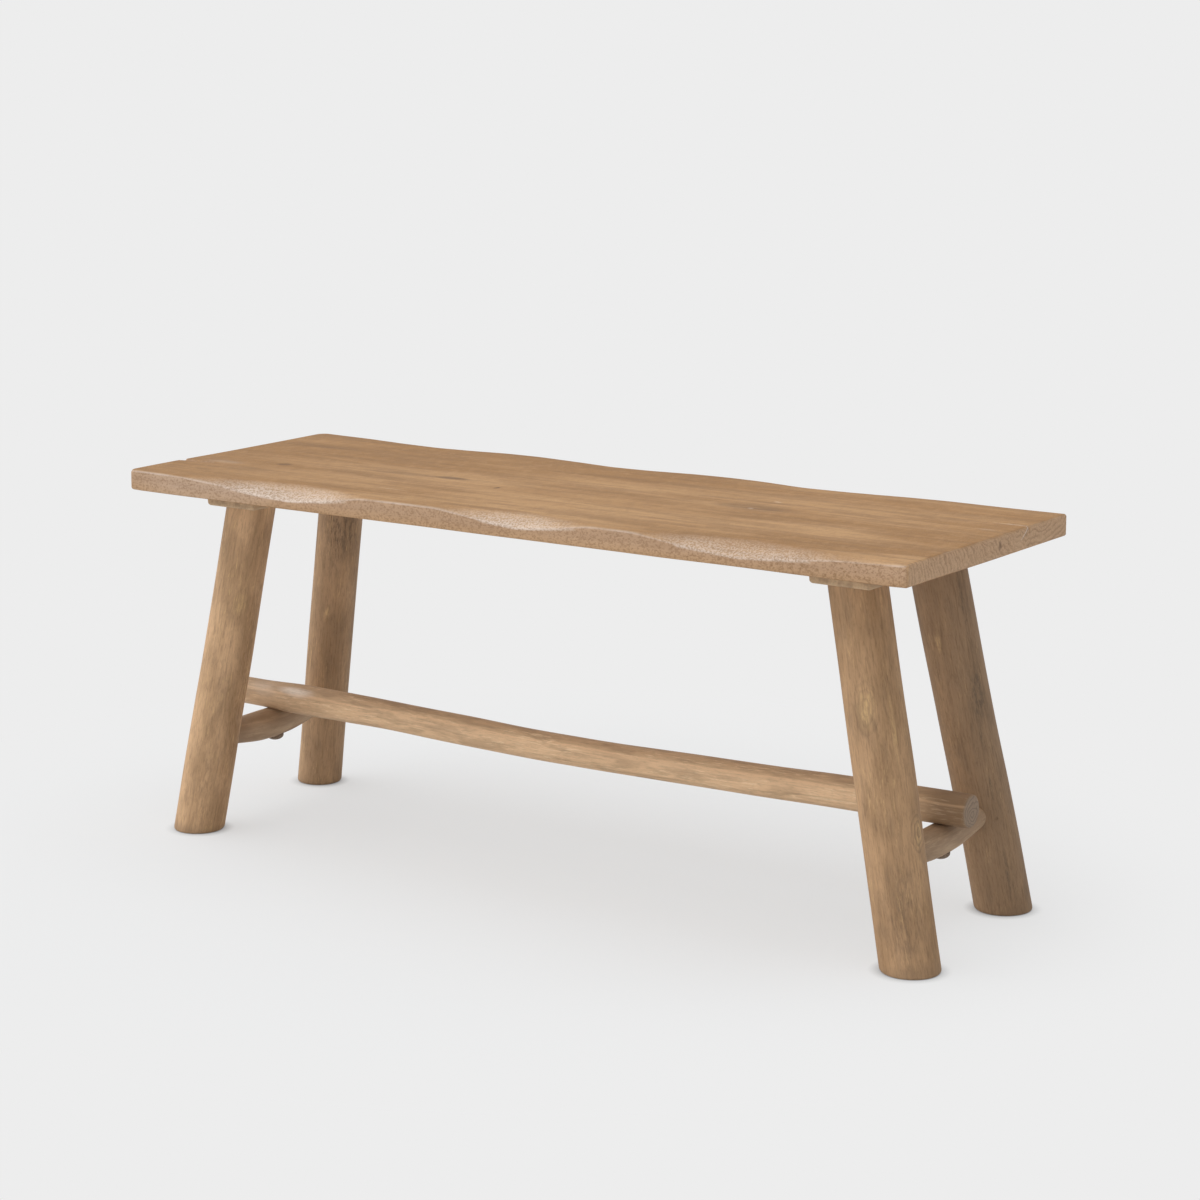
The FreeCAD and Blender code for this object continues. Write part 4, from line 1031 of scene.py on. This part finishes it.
seat_runs = []
leg_runs = []
seat_screw_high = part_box("seat_screws")[1]
leg_screw_low, leg_screw_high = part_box("leg_lag_screws")
batten_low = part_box("batten_right")[0]
for x in (-1, 1):
    for y in (-1, 1):
        rim = SEAT_SCREW[0] / 2
        place = Vector((x * (seat_screw_high.x - rim), y * (seat_screw_high.y - rim), batten_low.z))
        seat_runs.append(screw(place, Vector((place.x, place.y, seat_screw_high.z)), *SEAT_SCREW))
        rim = LEG_SCREW[0] / 2
        head_seat = leg_screw_high.z - LEG_SCREW[1]
        place = Vector((x * (leg_screw_high.x - rim), y * (leg_screw_high.y - rim), head_seat))
        leg_runs.append(screw(place, Vector((place.x, place.y, leg_screw_low.z)), *LEG_SCREW))
zinc = screw_finish("zinc_steel", ZINC_DULL, ZINC, metallic=1)
screws("seat_screws", seat_runs, zinc)
screws("leg_lag_screws", leg_runs, zinc)

# Studio: a plain pale floor, a sky that is brighter on the left and a broad light overhead. Where
# floor and sky are seen, directly or in a gloss, they show as one pale grey, save for a contact
# shadow painted round the feet.
STUDIO_PALE = (0.847, 0.847, 0.847)
FLOOR_PALE = (0.83, 0.848, 0.86)
SKY_LEVEL = 0.45
SIDE_LEVEL = 1.42
SIDE_CURVE = 1.5
SIDE_LIGHT = Vector((-0.82, -0.50, 0.22)).normalized()
OVERHEAD_POWER = 0.7
OVERHEAD_SPREAD = 60
SHADOW_SHARE = 0.38
SHADOW_MIDDLE = (-0.1, 0, 0)
SHADOW_REACH = (0.92, 0.85, 1)
CONTACT_SHADOW_REACH = 0.013
CONTACT_SHADOW_SHARE = 0.8
FLOOR_REACH = 300


def pale_when_seen(start):
    """1 where a surface is seen directly, in a gloss or through glass."""
    outputs = start.node("LightPath", {}).socket.node.outputs
    camera_ray, gloss_ray, glass_ray = (
        Tone(start.tree, outputs[f"Is {kind} Ray"]) for kind in ("Camera", "Glossy", "Transmission"))
    return camera_ray.math("MAXIMUM", camera_ray, gloss_ray.math("MAXIMUM", gloss_ray, glass_ray))


# The floor is a single triangle, so that no edge inside it crosses the picture.
floor_mesh = bpy.data.meshes.new("studio_floor")
corners = [(x * FLOOR_REACH, y * FLOOR_REACH, 0) for x, y in ((-2, -1), (2, -1), (0, 2))]
floor_mesh.from_pydata(corners, [], [(0, 1, 2)])
floor = bpy.data.objects.new("studio_floor", floor_mesh)
bpy.context.scene.collection.objects.link(floor)
floor_material = bpy.data.materials.new("studio_floor")
floor_material.use_nodes = True
floor_nodes = floor_material.node_tree.nodes
floor_shader = floor_nodes["Principled BSDF"]
floor_shader.inputs["Base Color"].default_value = (*FLOOR_PALE, 1)
floor_shader.inputs["Roughness"].default_value = 1
floor_shader.inputs["Specular IOR Level"].default_value = 0
floor_start = Tone(floor_material.node_tree, floor_shader.outputs[0])
# The shadow fades out away from the bench, and a contact shadow is painted into the floor's glow
# where a foot stands on it.
from_middle = floor_start.node("TexCoord", {}, output=3).vector("SUBTRACT", SHADOW_MIDDLE)
in_reach = from_middle.vector("DIVIDE", SHADOW_REACH)
far = in_reach.node("VectorMath", {0: in_reach}, output=1, operation="LENGTH")
floor_seen = pale_when_seen(floor_start) * (1 - SHADOW_SHARE * far.rise(1, 0.5))
# Painted contact shadow: ambient occlusion darkens the floor's glow round the feet.
painted_contact_shadow = 1 - floor_start.node("AmbientOcclusion", {"Distance": CONTACT_SHADOW_REACH}, output=1)
shaded = (painted_contact_shadow * CONTACT_SHADOW_SHARE).blend(STUDIO_PALE, (0, 0, 0))
glow = floor_start.node("Emission", {"Color": shaded, "Strength": 1})
mixed = floor_start.node("MixShader", {0: floor_seen, 1: floor_start, 2: glow})
floor_material.node_tree.links.new(mixed.socket, floor_nodes["Material Output"].inputs["Surface"])
floor_mesh.materials.append(floor_material)

world = bpy.data.worlds.new("studio_sky")
bpy.context.scene.world = world
world.use_nodes = True
sky = world.node_tree.nodes["Background"]
sky_start = Tone(world.node_tree, sky.outputs[0])
direction = sky_start.node("TexCoord", {}, output=0)
both = {0: direction, 1: SIDE_LIGHT}
towards = direction.node("VectorMath", both, output=1, operation="DOT_PRODUCT")
level = SKY_LEVEL + SIDE_LEVEL * towards.math("MAXIMUM", towards, 0) ** SIDE_CURVE
world.node_tree.links.new(level.socket, sky.inputs["Color"])
seen_sky = sky_start.node("Background", {"Color": STUDIO_PALE, "Strength": 1})
sky_mix = sky_start.node("MixShader", {0: pale_when_seen(sky_start), 1: sky_start, 2: seen_sky})
world.node_tree.links.new(sky_mix.socket, world.node_tree.nodes["World Output"].inputs["Surface"])

overhead_light = bpy.data.lights.new("studio_overhead", "SUN")
overhead_light.energy = OVERHEAD_POWER
overhead_light.angle = math.radians(OVERHEAD_SPREAD)
overhead = bpy.data.objects.new("studio_overhead", overhead_light)
bpy.context.scene.collection.objects.link(overhead)

# Camera: the photograph's viewpoint, from the front right and a little above the seat. Its place,
# turn and lens come from a fit to the seat's corners and the feet.
CAMERA_PLACE = (2.0203, -2.8719, 1.0474)
CAMERA_PITCH = 11.613
CAMERA_YAW = 34.717
CAMERA_LENS = 91.115
CAMERA_SENSOR = 36
CAMERA_FAR = 1000
camera_data = bpy.data.cameras.new("photo_view")
camera_data.sensor_width = CAMERA_SENSOR
camera_data.lens = CAMERA_LENS
camera_data.clip_end = CAMERA_FAR
camera = bpy.data.objects.new("photo_view", camera_data)
camera.location = CAMERA_PLACE
camera.rotation_euler = (math.radians(90 - CAMERA_PITCH), 0, math.radians(CAMERA_YAW))
bpy.context.scene.collection.objects.link(camera)
bpy.context.scene.camera = camera
bpy.context.scene.view_settings.view_transform = "Standard"
